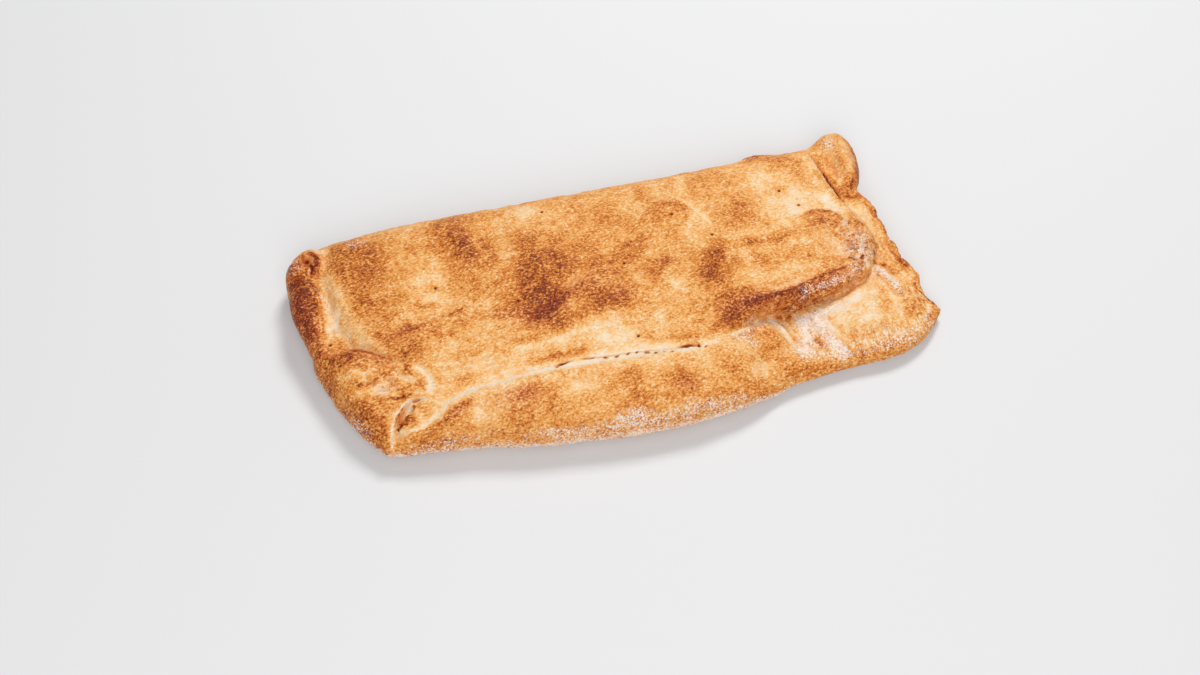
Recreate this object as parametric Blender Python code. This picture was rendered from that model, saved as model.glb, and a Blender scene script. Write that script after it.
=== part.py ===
"""Closed khachapuri: a sheet of dough folded over a cheese filling and baked as one long parcel.

One solid, resting on its floured underside: long side along X, seam towards -Y, thin end at +X.
Each fold of the dough is a pad: an outline in plan, a top, an underside and a rounded rim.
The pads overlap as the folds do, and one Boolean union bakes them into a single body.
Sizes and places are in millimetres; the mesh is in metres.
"""

import bmesh
import bpy
import numpy as np

MM = 0.001

# Heights above the table
CROWN = 26.0          # the filled middle
SEAM_HEIGHT = 19.0    # edge of the top sheet along the seam
STRIP_CROWN = 21.5    # the front fold, just in front of the seam
LIP_MIDDLE = 13.5     # half-way up the free lip of the top sheet
THIN_END = 9.5        # two bare layers of dough at the right end, with no filling between
LEFT_END = 17.5       # the left end of the lower sheet, at the valley
FLAP = 20.5           # the triangular flap over the left end
FAR_LOBE = 14.5       # the folded back right corner
LIFT = 1.5            # how far the folds start above the table, inside the sole

# The top sheet, left to right and front to back
SEAM = [(-102, -50), (-88, -46.5), (-76, -42.5), (-52, -40.5), (-28, -40), (0, -42), (18, -44), (32, -44.5)]
LIP = [(46, -39), (60, -32), (72, -30), (86, -28.5), (96, -28), (105, -26), (112, -21.5), (118, -16)]
FREE_CORNER = [(123, -10), (126, -5), (129.5, -3)]
RIGHT_EDGE = [(129.5, -3), (128.5, 6), (125, 14), (122, 22), (119.8, 31), (118, 41), (117, 51), (116, 61)]
BACK_EDGE = [(-128, 56), (-100, 60), (-50, 60), (0, 59.5), (50, 60), (77, 61), (86, 64), (101, 63),
             (116, 61)]
LEFT_VALLEY = [(-102, -50), (-108, -36), (-116, -20), (-125, -6), (-130, 14), (-131, 36), (-128, 56)]

# Mounds (or hollows) of each surface: height, place, two radii, turn in degrees
TOP_MOUNDS = [
    (2.2, (-34, 14), (20, 24), 20), (1.8, (-65, 38), (9, 16), 10), (2.2, (33, 33), (12, 9), 0),
    (1.9, (-2, -8), (14, 10), 0), (2.0, (50, 2), (8, 14), -20), (1.5, (-100, 0), (18, 30), 0),
    (-1.8, (-78, 6), (12, 16), 0), (-2.0, (12, 12), (11, 15), 30), (-2.2, (88, 34), (18, 14), 0),
    (-1.6, (74, -8), (16, 9), 0), (1.8, (108, 10), (13, 7), -15), (1.8, (58, -24), (14, 5), -12),
    (-1.2, (-20, -30), (60, 8), 0), (-0.9, (-50, 34), (7, 14), 0), (1.0, (-92, 40), (14, 9), 0),
    (0.8, (100, 52), (12, 6), 0), (-1.0, (66, 30), (8, 14), 20), (1.0, (-70, -24), (22, 7), 5),
]
STRIP_MOUNDS = [
    (1.2, (-52, -54), (12, 8), 0), (-1.4, (-28, -52), (8, 10), 0), (1.3, (0, -57), (16, 8), 0),
    (-1.1, (31, -57), (7, 10), 0), (1.0, (48, -52), (9, 9), 0), (-0.9, (-76, -50), (8, 8), 0),
]
THIN_MOUNDS = [
    (3.6, (108, -37), (15, 12), 15), (-2.4, (79, -37), (7, 11), 0), (1.2, (88, -54), (12, 6), 0),
    (2.0, (60, -57), (14, 8), 0),
    (1.6, (126, -24), (3, 12), 20), (-1.6, (127, -14), (2.2, 8), 28), (1.8, (135, -36), (6, 12), 20),
]
FLAP_MOUNDS = [
    (2.0, (-119, -20), (15, 7), -35), (1.8, (-105, -27), (4.5, 4), 0), (1.5, (-98.5, -30), (4, 4), 0),
    (1.2, (-130, -20), (8, 10), 0), (-1.8, (-117, -33), (8, 4), -10), (1.0, (-110, -42), (6, 5), 0),
]
LOBE_MOUNDS = [(3.8, (131, 48), (5, 15), 8), (2.4, (129, 64), (8, 4.5), 0), (-1.2, (122, 50), (3, 12), 10)]
CURL_MOUNDS = [
    (-4.2, (-136.5, 46.5), (2.6, 2.3), 0), (-1.6, (-137, 39.5), (1.6, 6), 12),
    (1.0, (-142.5, 41), (3.5, 5), 0),
]

CRUST = (0.80, 0.47, 0.20, 1.0)


def smooth_line(points, count):
    """count points, evenly spaced by length, on a smooth line through the given ones."""
    p = np.array(points, float)
    if len(p) > 2:
        ends = np.vstack([2 * p[0] - p[1], p, 2 * p[-1] - p[-2]])
        t = np.linspace(0, 1, 24, endpoint=False)[:, None]
        runs = []
        for a, b, c, d in zip(ends, ends[1:], ends[2:], ends[3:]):
            bend = 2 * a - 5 * b + 4 * c - d
            twist = 3 * b - a - 3 * c + d
            runs.append(0.5 * (2 * b + (c - a) * t + bend * t**2 + twist * t**3))
        p = np.vstack([*runs, p[-1:]])
    length = np.concatenate([[0], np.cumsum(np.linalg.norm(np.diff(p, axis=0), axis=1))])
    where = np.linspace(0, length[-1], count)
    return np.stack([np.interp(where, length, p[:, k]) for k in range(p.shape[1])], -1)


def fall(d, reach, power):
    """Rounded rim: 0 on the outline, 1 from reach inwards; a higher power squares its shoulder."""
    near = np.clip(1 - d / reach, 0, 1)
    return (1 - near**power) ** (1 / power)


def step(x, low, high):
    """Smooth step from 0 at low to 1 at high."""
    t = np.clip((x - low) / (high - low), 0, 1)
    return t * t * (3 - 2 * t)


def mounds(x, y, table):
    """Sum of the soft mounds of a table."""
    total = 0 * x
    for height, place, size, turn in table:
        a = np.radians(turn)
        u = (x - place[0]) * np.cos(a) + (y - place[1]) * np.sin(a)
        v = (y - place[1]) * np.cos(a) - (x - place[0]) * np.sin(a)
        total += height * np.exp(-((u / size[0]) ** 2) - (v / size[1]) ** 2)
    return total


def level(height):
    """A function of the plan that is the same all over."""
    return lambda x, y: 0 * x + height


def away(x, y, line):
    """Distance in plan from each point to a line of points."""
    p = np.stack([x, y], -1)[:, None]
    a, b = line[None, :-1], line[None, 1:]
    share = ((p - a) * (b - a)).sum(-1) / np.maximum(((b - a) ** 2).sum(-1), 1e-9)
    foot = a + np.clip(share, 0, 1)[..., None] * (b - a)
    return np.linalg.norm(p - foot, axis=-1).min(1)


def along(line, k):
    """Points at the fractions k of a line."""
    share = np.linspace(0, 1, len(line))
    return np.stack([np.interp(k[:, 0], share, line[:, axis]) for axis in (0, 1)], -1)


def finish(name, bm):
    """Makes the mesh an object."""
    mesh = bpy.data.meshes.new(name)
    bm.to_mesh(mesh)
    bm.free()
    obj = bpy.data.objects.new(name, mesh)
    bpy.context.scene.collection.objects.link(obj)
    return obj


def pad(name, edges, top, under, rim, reach, grid, under_reach=5.0, power=level(2.2)):
    """Closed pad of dough. Its edges are the front, right, back and left outlines: front and back run
    left to right, the others front to back. The rest are functions of x and y, but for name, grid and
    under_reach."""
    front, right, back, left = [smooth_line(edge, 161) for edge in edges]
    outline = np.vstack([front, right, back[::-1], left[::-1]])

    bm = bmesh.new()
    bmesh.ops.create_grid(bm, x_segments=grid[0], y_segments=grid[1], size=1.0)
    twin = bmesh.ops.duplicate(bm, geom=bm.verts[:] + bm.edges[:] + bm.faces[:])["geom"]
    lower = {g for g in twin if isinstance(g, bmesh.types.BMVert)}
    bmesh.ops.reverse_faces(bm, faces=[g for g in twin if isinstance(g, bmesh.types.BMFace)])

    # Rows are drawn closer towards the rim, then the square is stretched to the outline
    square = np.array([v.co[:2] for v in bm.verts])
    square = 0.5 + 0.5 * (0.45 * square + 0.55 * np.sin(square * np.pi / 2))
    s, t = square[:, :1], square[:, 1:]
    plan = (1 - t) * along(front, s) + t * along(back, s) + (1 - s) * along(left, t) + s * along(right, t)
    plan -= (1 - s) * (1 - t) * front[0] + s * (1 - t) * front[-1] + (1 - s) * t * back[0] + s * t * back[-1]

    x, y = plan.T
    d = away(x, y, outline)
    d[(np.abs(square - 0.5) > 0.4999).any(1)] = 0
    middle = rim(x, y)
    above = middle + np.maximum(top(x, y) - middle, 0.5) * fall(d, reach(x, y), power(x, y))
    below = middle - np.maximum(middle - under(x, y), 0.5) * fall(d, under_reach, 2.2)
    for v, px, py, high, low in zip(bm.verts, x, y, above, below):
        v.co = (px * MM, py * MM, (low if v in lower else high) * MM)
    bmesh.ops.remove_doubles(bm, verts=bm.verts, dist=1e-7)
    return finish(name, bm)


def roll(name, line, radii, sides, rings):
    """Closed round roll of dough of varying radius along a line."""
    spine = smooth_line(line, rings)
    radius = np.interp(np.linspace(0, 1, rings), np.linspace(0, 1, len(radii)), radii)
    ahead = np.gradient(spine, axis=0)
    ahead /= np.linalg.norm(ahead, axis=1)[:, None]
    bm = bmesh.new()
    made = []
    for centre, way, r in zip(spine, ahead, radius):
        side = np.array([way[1], -way[0], 0.0]) / np.hypot(way[0], way[1])
        up = np.cross(side, way)
        ring = bmesh.ops.create_circle(bm, segments=sides, radius=1.0)
        for v in ring["verts"]:
            v.co = MM * (centre + r * (v.co.x * side + v.co.y * up))
        made.append(ring["verts"])
    bm.edges.ensure_lookup_table()
    bmesh.ops.bridge_loops(bm, edges=bm.edges[:])
    for end, way in ((0, -0.6), (-1, 0.6)):
        cap = bmesh.ops.contextual_create(bm, geom=made[end])["faces"]
        bmesh.ops.poke(bm, faces=cap)["verts"][0].co = MM * (spine[end] + way * radius[end] * ahead[end])
    bmesh.ops.recalc_face_normals(bm, faces=bm.faces)
    return finish(name, bm)


def main_parcel(fine=1):
    """The filled middle, closed by the top sheet: its front edge is the seam, then the free lip."""
    def top(x, y):
        z = CROWN - 2.2 * ((x + 10) / 110) ** 2 - 4.6 * ((y - 12) / 52) ** 2
        return z + mounds(x, y, TOP_MOUNDS) - 4.5 * step(x, 60, 122)

    def rim(x, y):
        seam = SEAM_HEIGHT - (SEAM_HEIGHT - LIP_MIDDLE) * step(x, 34, 62) - 2.0 * step(-x, 96, 116)
        return seam - (seam - 11.5) * step(y, 30, 54) * (1 - step(x, 100, 114))

    def under(x, y):
        lifted = np.maximum(step(x, 38, 60) * step(-y, -6, 16), step(x, 108, 120) * step(-y, -60, -40))
        return LIFT + (THIN_END - 2.0 - LIFT) * lifted

    def on_lip(x, y):
        return step(x, 40, 60) * step(-y, -24, 8)

    def reach(x, y):
        return 14 - 9.5 * on_lip(x, y) - 10 * step(x, 104, 114) * step(y, 6, 22)

    edges = (SEAM + LIP + FREE_CORNER, RIGHT_EDGE, BACK_EDGE, LEFT_VALLEY)
    return pad("main_parcel", edges, top, under, rim, reach, (int(52 * fine), int(28 * fine)), 6.0,
               lambda x, y: 2.2 + 1.3 * on_lip(x, y))


def front_fold(fine=1):
    """The lower sheet brought up over the filling, from the table to the seam; it ends in a pleat."""
    front = [(-118, -59), (-109, -60.5), (-94, -63), (-80, -64.5), (-64, -68), (-50, -70.8), (-20, -74.5),
             (5, -76), (28, -75), (50, -71.5), (66, -67)]
    right = [(66, -67), (72, -56), (71, -44), (65, -32)]
    back = [(-112, -50), (-100, -48), (-86, -44), (-74, -40.5), (-40, -38), (0, -39.5), (32, -41.5),
            (48, -35), (65, -32)]
    left = [(-118, -59), (-112, -50)]

    def top(x, y):
        z = STRIP_CROWN + 1.2 * step(y, -64, -46) + mounds(x, y, STRIP_MOUNDS)
        z -= 5.0 * (1 - step(x, -118, -84)) + 8.0 * step(x, 20, 66)
        return z - 3.5 * step(x, 40, 66) * step(-y, 42, 58)

    def rim(x, y):
        seam = 9.5 - 4 * (1 - step(x, -118, -90)) - 7 * step(x, 34, 60)
        return 8.5 - 4.5 * step(x, 40, 62) + (seam + 2.5 * step(x, 40, 62)) * step(y, -58, -44)

    def reach(x, y):
        return 20 - 11 * step(y, -56, -46) - 2 * step(x, 56, 68) * step(-y, 40, 56)

    return pad("front_fold", (front, right, back, left), top, level(LIFT), rim, reach,
               (int(46 * fine), int(14 * fine)))


def thin_end(fine=1):
    """The right end of the lower sheet: two bare layers, flat and floured, with a puffed middle."""
    front = [(44, -70), (66, -66.5), (90, -63.5), (118, -62), (133, -57.6), (142, -50.5), (149, -42.5)]
    right = [(149, -42.5), (147.4, -38), (145, -33), (144.5, -26), (141, -14), (136, 6), (135, 24), (131, 44)]
    back = [(44, 30), (90, 36), (131, 44)]
    left = [(44, -70), (42, -20), (44, 30)]

    def top(x, y):
        z = THIN_END + mounds(x, y, THIN_MOUNDS) + 1.2 * (1 - step(x, 60, 82))
        return z + 4.5 * step(y, -24, 4) * step(x, 108, 122) - 2.6 * step(x, 126, 144) * step(-y, -10, 30)

    def rim(x, y):
        return 4.5 + 4.5 * step(y, -24, 4)

    return pad("thin_end", (front, right, back, left), top, level(LIFT), rim, level(9.0),
               (int(28 * fine), int(23 * fine)))


def left_end(fine=1):
    """The left end of the lower sheet, turned up under the rolled rim and the end flap."""
    front = [(-118, -59.6), (-104, -61), (-90, -52)]
    right = [(-90, -52), (-96, 0), (-98, 52)]
    back = [(-141, 51), (-130, 57.5), (-112, 59.5), (-98, 52)]
    left = [(-118, -59.6), (-123, -55.5), (-129.2, -46), (-135.6, -33), (-141.5, -16), (-143.2, -8), (-143.2, 0),
            (-144.6, 8), (-147, 17), (-148.6, 28), (-147.5, 40), (-141, 51)]

    def top(x, y):
        return LEFT_END + 0.8 * step(y, -40, 0) - 4.0 * (1 - step(y, -58, -30))

    def rim(x, y):
        return 8.0 + 2.0 * step(y, -20, 20)

    return pad("left_end", (front, right, back, left), top, level(LIFT), rim, level(13.0),
               (int(14 * fine), int(26 * fine)))


def end_flap(fine=1):
    """The triangular flap folded from the left end over the top sheet, its tip pressed down."""
    front = [(-118, -59), (-113.5, -54), (-109, -46), (-101, -41.5), (-94.5, -35)]
    right = [(-94.5, -35), (-96, -28), (-104, -22)]
    back = [(-141, -1), (-126, -7.5), (-113, -16), (-104, -22)]
    left = [(-118, -59), (-128, -45.5), (-134.6, -33), (-140.3, -16), (-141, -1)]

    def top(x, y):
        return FLAP + mounds(x, y, FLAP_MOUNDS) - 5.5 * step(-y, 34, 60) - 3.0 * step(-x, 124, 142)

    def rim(x, y):
        return 10.5 + 7.6 * step(x + 0.5 * y, -142, -122)

    def reach(x, y):
        return 13 - 10.5 * step(x + 0.6 * y, -144, -120)

    return pad("end_flap", (front, right, back, left), top, level(8.0), rim, reach,
               (int(22 * fine), int(20 * fine)))


def crease_eye(fine=1):
    """A small puff of dough left between the flap and the front fold, with a crack behind it."""
    front = [(-113.5, -54), (-107, -56), (-99.5, -51.5)]
    right = [(-99.5, -51.5), (-99.5, -49), (-101.5, -47)]
    back = [(-112, -51), (-107, -46.5), (-101.5, -47)]
    left = [(-113.5, -54), (-112, -51)]
    return pad("crease_eye", (front, right, back, left), level(18.6), level(9.0), level(16.2), level(5.0),
               (int(10 * fine), int(8 * fine)), 3.0)


def rolled_rim(fine=1):
    """The left edge of the sheet, rolled up on itself."""
    line = [(-134.5, -12, 12), (-137.2, -4, 13), (-138.8, 8, 13.8), (-140.6, 20, 14.4), (-141.4, 33, 14.2)]
    return roll("rolled_rim", line, [3.6, 5.6, 6.4, 7.2, 7.6, 7.6, 6.4], int(16 * fine), int(18 * fine))


def corner_curl(fine=1):
    """The end of the roll at the back left corner, curled into a short snail with a pit in its middle."""
    front = [(-148.5, 34.5), (-140, 32.5), (-131, 35)]
    right = [(-131, 35), (-127.5, 44), (-127.5, 53)]
    back = [(-141.5, 53), (-134, 56), (-127.5, 53)]
    left = [(-148.5, 34.5), (-147.5, 45), (-141.5, 53)]

    def top(x, y):
        return 21.0 + mounds(x, y, CURL_MOUNDS) - 2.0 * step(x, -138, -127)

    return pad("corner_curl", (front, right, back, left), top, level(6.0), level(11.5), level(6.5),
               (int(15 * fine), int(15 * fine)))


def far_lobe(fine=1):
    """The back right corner of the lower sheet, folded inwards into a rounded lobe beside the top sheet."""
    front = [(115, 28), (122, 25), (129.5, 29)]
    right = [(129.5, 29), (137, 40), (139.6, 53), (139, 63), (134.5, 70.5)]
    back = [(105, 59), (117, 63.5), (126, 69), (134.5, 70.5)]
    left = [(115, 28), (110, 44), (105, 59)]

    def top(x, y):
        return FAR_LOBE + mounds(x, y, LOBE_MOUNDS)

    return pad("far_lobe", (front, right, back, left), top, level(2.5), level(9.5), level(7.0),
               (int(15 * fine), int(17 * fine)))


def crust_edge(fine=1):
    """The crisp, ragged edge of the inner layer, standing a little proud along the right end."""
    right = [(143.5, -28), (144.5, -22), (142.5, -16), (139.6, -11), (139, -5), (137, 1), (137.4, 8),
             (136.4, 14), (136.8, 20), (134.5, 26), (130, 32)]
    front = [(132, -29), right[0]]
    back = [(125, 29), right[-1]]
    left = [(132, -29), (132.5, -14), (132, 4), (131.5, 18), (125, 29)]

    def top(x, y):
        return 13.2 - 3.4 * step(-y, -6, 26) + 0.4 * np.sin(y / 2.3) * np.sin(y / 5.9 + 1)

    def rim(x, y):
        return 12.0 - 3.6 * step(-y, -6, 26) + 0.4 * np.sin(y / 2.9 + 2) * np.sin(y / 7.1)

    return pad("crust_edge", (front, right, back, left), top, level(6.0), rim, level(2.0),
               (int(6 * fine), int(26 * fine)), 3.5)


def corner_knob(fine=1):
    """The knobbly end of the lip, where the free corner of the top sheet is pinched together."""
    line = [(107, -21.5, 14), (113.5, -17.5, 13.6), (119, -11.5, 13.6), (122, -4.5, 14.2), (120, 3, 14.2)]
    return roll("corner_knob", line, [2.4, 4.4, 5.2, 4.8, 5, 5.8, 4.8, 2.6], int(14 * fine), int(14 * fine))


def sole():
    """The underside: one flat floured sheet that everything rests on."""
    front = [(-112, -53), (-80, -60), (-40, -67), (0, -70), (40, -68), (90, -60), (118, -58), (138, -42)]
    right = [(138, -42), (132, -8), (129, 20), (128, 52)]
    back = [(-132, 48), (-100, 54), (0, 55), (90, 56), (128, 52)]
    left = [(-112, -53), (-130, -30), (-137, 0), (-140, 30), (-132, 48)]
    return pad("sole", (front, right, back, left), level(7.0), level(0.0), level(3.5), level(5.0),
               (24, 12), 4.0)


def bake(parcel, folds):
    """One closed body from the parcel and its folds, with the pockets shut inside it filled."""
    group = bpy.data.collections.new("folds")
    for fold in folds:
        bpy.context.scene.collection.objects.unlink(fold)
        group.objects.link(fold)
    join = parcel.modifiers.new("bake", "BOOLEAN")
    join.operation = "UNION"
    join.operand_type = "COLLECTION"
    join.collection = group
    join.solver = "EXACT"
    bpy.context.view_layer.update()
    baked = bpy.data.meshes.new_from_object(parcel.evaluated_get(bpy.context.evaluated_depsgraph_get()))
    parcel.modifiers.clear()
    parcel.data = baked
    for fold in folds:
        bpy.data.objects.remove(fold)
    bpy.data.collections.remove(group)

    bm = bmesh.new()
    bm.from_mesh(baked)
    outside = {max(bm.verts, key=lambda v: v.co.x)}
    edge = list(outside)
    while edge:
        edge = [e.other_vert(v) for v in edge for e in v.link_edges]
        edge = list({v for v in edge if v not in outside})
        outside.update(edge)
    bmesh.ops.delete(bm, geom=[v for v in bm.verts if v not in outside], context="VERTS")
    bm.to_mesh(baked)
    bm.free()
    return baked


def main():
    """Clears the scene and makes the parcel, resting on z = 0 with its box centred on the origin."""
    for obj in list(bpy.data.objects):
        bpy.data.objects.remove(obj)
    parcel = main_parcel()
    folds = [front_fold(), thin_end(), left_end(), end_flap(), crease_eye(), rolled_rim(), corner_curl(),
             far_lobe(), crust_edge(), corner_knob(), sole()]
    baked = bake(parcel, folds)
    parcel.name = baked.name = "khachapuri"

    corners = np.array([v.co for v in baked.vertices])
    low, high = corners.min(0), corners.max(0)
    shift = np.array([-(low[0] + high[0]) / 2, -(low[1] + high[1]) / 2, -low[2]])
    baked.vertices.foreach_set("co", (corners + shift).ravel())

    dough = bpy.data.materials.new("baked_dough")
    dough.use_nodes = True
    shader = dough.node_tree.nodes["Principled BSDF"]
    shader.inputs["Base Color"].default_value = CRUST
    shader.inputs["Roughness"].default_value = 0.62
    shader.inputs["Metallic"].default_value = 0.0
    baked.materials.clear()
    baked.materials.append(dough)
    baked.shade_smooth()
    baked.set_sharp_from_angle(angle=np.radians(50))
    print("khachapuri:", len(baked.polygons), "faces, box", np.round((high - low) / MM, 1), "mm")


main()
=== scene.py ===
"""Closed khachapuri, dressed: the folded and baked dough, its browned skin and the flour left on it.

Everything is laid out in plan millimetres (long side along X, seam towards -Y) and made in metres.
"""

import bmesh
import bpy
import numpy as np
from mathutils import Matrix, Vector, noise


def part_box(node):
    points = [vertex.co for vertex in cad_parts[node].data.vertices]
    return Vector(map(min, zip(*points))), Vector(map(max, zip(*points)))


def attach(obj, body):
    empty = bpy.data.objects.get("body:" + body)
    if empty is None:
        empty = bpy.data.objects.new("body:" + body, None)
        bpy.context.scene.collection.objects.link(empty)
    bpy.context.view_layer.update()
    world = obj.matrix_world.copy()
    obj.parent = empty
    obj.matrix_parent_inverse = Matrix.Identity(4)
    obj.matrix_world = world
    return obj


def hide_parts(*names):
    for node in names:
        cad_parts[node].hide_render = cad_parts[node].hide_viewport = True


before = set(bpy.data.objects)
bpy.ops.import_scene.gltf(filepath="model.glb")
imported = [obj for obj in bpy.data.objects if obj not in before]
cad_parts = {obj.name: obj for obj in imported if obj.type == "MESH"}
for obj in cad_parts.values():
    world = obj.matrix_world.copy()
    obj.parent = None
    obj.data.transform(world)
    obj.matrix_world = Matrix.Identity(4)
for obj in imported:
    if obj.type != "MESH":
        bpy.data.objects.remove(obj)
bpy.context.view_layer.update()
scene = bpy.context.scene
MM = 0.001                # one millimetre


# ---- The lower sheet -----------------------------------------------------------------------------
# One sheet of yeast dough rolled out on a floured table, longer than the filling it carries. Its front
# is brought up over the filling to the seam, and its ends are turned up or left as two bare layers.
# Each fold is made as a closed pad: an outline, a top, an underside and a rounded rim.

LIFT = 1.5                # the folds start this far above the table, inside the sole
SHOULDER = 2.2            # how square a rim is: 2 is a quarter round
STRIP_CROWN = 21.5        # the front fold, just in front of the seam
THIN_END = 9.5            # the right end, which has no filling
LEFT_END = 17.5           # the left end, at the valley
STRIP_MOUNDS = [
    (1.2, (-52, -54), (12, 8)), (-1.4, (-28, -52), (8, 10)), (1.3, (0, -57), (16, 8)),
    (-1.1, (31, -57), (7, 10)), (1.0, (48, -52), (9, 9)), (-0.9, (-76, -50), (8, 8)),
]
THIN_MOUNDS = [
    (3.6, (108, -37), (15, 12), 15), (-2.4, (79, -37), (7, 11)), (1.2, (88, -54), (12, 6)),
    (2.0, (60, -57), (14, 8)), (1.6, (126, -24), (3, 12), 20), (-1.6, (127, -14), (2.2, 8), 28),
    (1.8, (135, -36), (6, 12), 20),
]


def smooth_line(points, count):
    """count points, evenly spaced by length, on a smooth line through the given ones."""
    p = np.array(points, float)
    if len(p) > 2:
        ends = np.vstack([2 * p[0] - p[1], p, 2 * p[-1] - p[-2]])
        t = np.linspace(0, 1, 24, endpoint=False)[:, None]
        runs = []
        for a, b, c, d in zip(ends, ends[1:], ends[2:], ends[3:]):
            bend = 2 * a - 5 * b + 4 * c - d
            twist = 3 * b - a - 3 * c + d
            runs.append(0.5 * (2 * b + (c - a) * t + bend * t**2 + twist * t**3))
        p = np.vstack([*runs, p[-1:]])
    length = np.concatenate([[0], np.cumsum(np.linalg.norm(np.diff(p, axis=0), axis=1))])
    where = np.linspace(0, length[-1], count)
    return np.stack([np.interp(where, length, p[:, k]) for k in range(p.shape[1])], -1)


def fall(d, reach, power):
    """Rounded rim: 0 on the outline, 1 from reach inwards; a higher power squares its shoulder."""
    near = np.clip(1 - d / reach, 0, 1)
    return (1 - near**power) ** (1 / power)


def step(x, low, high):
    """Smooth step from 0 at low to 1 at high."""
    t = np.clip((x - low) / (high - low), 0, 1)
    return t * t * (3 - 2 * t)


def bell(x, y, place, size, turn=0):
    """Soft round patch in plan: 1 in its middle, falling off over its two radii, turned by turn degrees."""
    a = np.radians(turn)
    u = (x - place[0]) * np.cos(a) + (y - place[1]) * np.sin(a)
    v = (y - place[1]) * np.cos(a) - (x - place[0]) * np.sin(a)
    return np.exp(-((u / size[0]) ** 2) - (v / size[1]) ** 2)


def mounds(x, y, table):
    """Sum of the soft mounds of a table: height, place, radii and, where it is turned, its turn."""
    total = 0 * x
    for height, place, size, *turn in table:
        total += height * bell(x, y, place, size, *turn)
    return total


def level(height):
    """A function of the plan that is the same all over."""
    return lambda x, y: 0 * x + height


def away(x, y, line):
    """Distance in plan from each point to a line of points, and how far along the line, 0 to 1."""
    a, b = line[None, :-1], line[None, 1:]
    near, where = [], []
    for part in np.array_split(np.stack([x, y], -1), len(x) // 2000 + 1):
        p = part[:, None]
        share = ((p - a) * (b - a)).sum(-1) / np.maximum(((b - a) ** 2).sum(-1), 1e-9)
        share = np.clip(share, 0, 1)
        gap = np.linalg.norm(p - a - share[..., None] * (b - a), axis=-1)
        best = gap.argmin(1)
        near.append(gap.min(1))
        where.append((best + share[np.arange(len(part)), best]) / (line.shape[0] - 1))
    return np.concatenate(near), np.concatenate(where)


def along(line, k):
    """Points at the fractions k of a line."""
    share = np.linspace(0, 1, len(line))
    return np.stack([np.interp(k[:, 0], share, line[:, axis]) for axis in (0, 1)], -1)


def pad(edges, top, under, rim, reach, grid, under_reach=5.0, power=level(SHOULDER)):
    """Closed pad of dough as a bmesh. Its edges are the front, right, back and left outlines."""
    front, right, back, left = [smooth_line(edge, 121) for edge in edges]
    outline = np.vstack([front, right, back[::-1], left[::-1]])

    bm = bmesh.new()
    bmesh.ops.create_grid(bm, x_segments=2 * grid[0], y_segments=2 * grid[1], size=1.0)
    twin = bmesh.ops.duplicate(bm, geom=bm.verts[:] + bm.edges[:] + bm.faces[:])["geom"]
    lower = {g for g in twin if isinstance(g, bmesh.types.BMVert)}
    bmesh.ops.reverse_faces(bm, faces=[g for g in twin if isinstance(g, bmesh.types.BMFace)])

    # The rows of faces lie closer together towards the rim
    square = np.array([v.co[:2] for v in bm.verts])
    square = 0.5 + 0.5 * (0.45 * square + 0.55 * np.sin(square * np.pi / 2))
    s, t = square[:, :1], square[:, 1:]
    plan = (1 - t) * along(front, s) + t * along(back, s) + (1 - s) * along(left, t) + s * along(right, t)
    plan -= (1 - s) * (1 - t) * front[0] + s * (1 - t) * front[-1] + (1 - s) * t * back[0] + s * t * back[-1]

    x, y = plan.T
    d = away(x, y, outline)[0]
    d[(np.abs(square - 0.5) > 0.4999).any(1)] = 0
    middle = rim(x, y)
    above = middle + np.maximum(top(x, y) - middle, 0.5) * fall(d, reach(x, y), power(x, y))
    below = middle - np.maximum(middle - under(x, y), 0.5) * fall(d, under_reach, SHOULDER)
    for v, px, py, high, low in zip(bm.verts, x, y, above, below):
        v.co = (px, py, low if v in lower else high)
    bmesh.ops.remove_doubles(bm, verts=bm.verts, dist=1e-4)
    return bm


def sole():
    """The underside: one flat floured sheet that everything rests on."""
    front = [(-112, -53), (-80, -60), (-40, -67), (0, -70), (40, -68), (90, -60), (118, -58), (138, -42)]
    right = [(138, -42), (132, -8), (129, 20), (128, 52)]
    back = [(-132, 48), (-100, 54), (0, 55), (90, 56), (128, 52)]
    left = [(-112, -53), (-130, -30), (-137, 0), (-140, 30), (-132, 48)]
    return pad((front, right, back, left), level(7.0), level(0.0), level(3.5), level(5.0), (24, 12), 4.0)


def front_fold():
    """The front of the sheet, up from the table to the seam; its right end is a pleat."""
    front = [(-118, -59), (-109, -60.5), (-94, -63), (-80, -64.5), (-64, -68), (-50, -70.8), (-20, -74.5),
             (5, -76), (28, -75), (50, -71.5), (66, -67)]
    right = [(66, -67), (72, -56), (71, -44), (65, -32)]
    back = [(-112, -50), (-100, -48), (-86, -44), (-74, -40.5), (-40, -38), (0, -39.5), (32, -41.5),
            (48, -35), (65, -32)]
    left = [(-118, -59), (-112, -50)]

    def top(x, y):
        z = STRIP_CROWN + 1.2 * step(y, -64, -46) + mounds(x, y, STRIP_MOUNDS)
        z -= 5.0 * (1 - step(x, -118, -84)) + 8.0 * step(x, 20, 66)
        return z - 3.5 * step(x, 40, 66) * step(-y, 42, 58)

    def rim(x, y):
        seam = 9.5 - 4 * (1 - step(x, -118, -90)) - 7 * step(x, 34, 60)
        return 8.5 - 4.5 * step(x, 40, 62) + (seam + 2.5 * step(x, 40, 62)) * step(y, -58, -44)

    def reach(x, y):
        return 20 - 11 * step(y, -56, -46) - 2 * step(x, 56, 68) * step(-y, 40, 56)

    return pad((front, right, back, left), top, level(LIFT), rim, reach, (46, 14))


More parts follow.
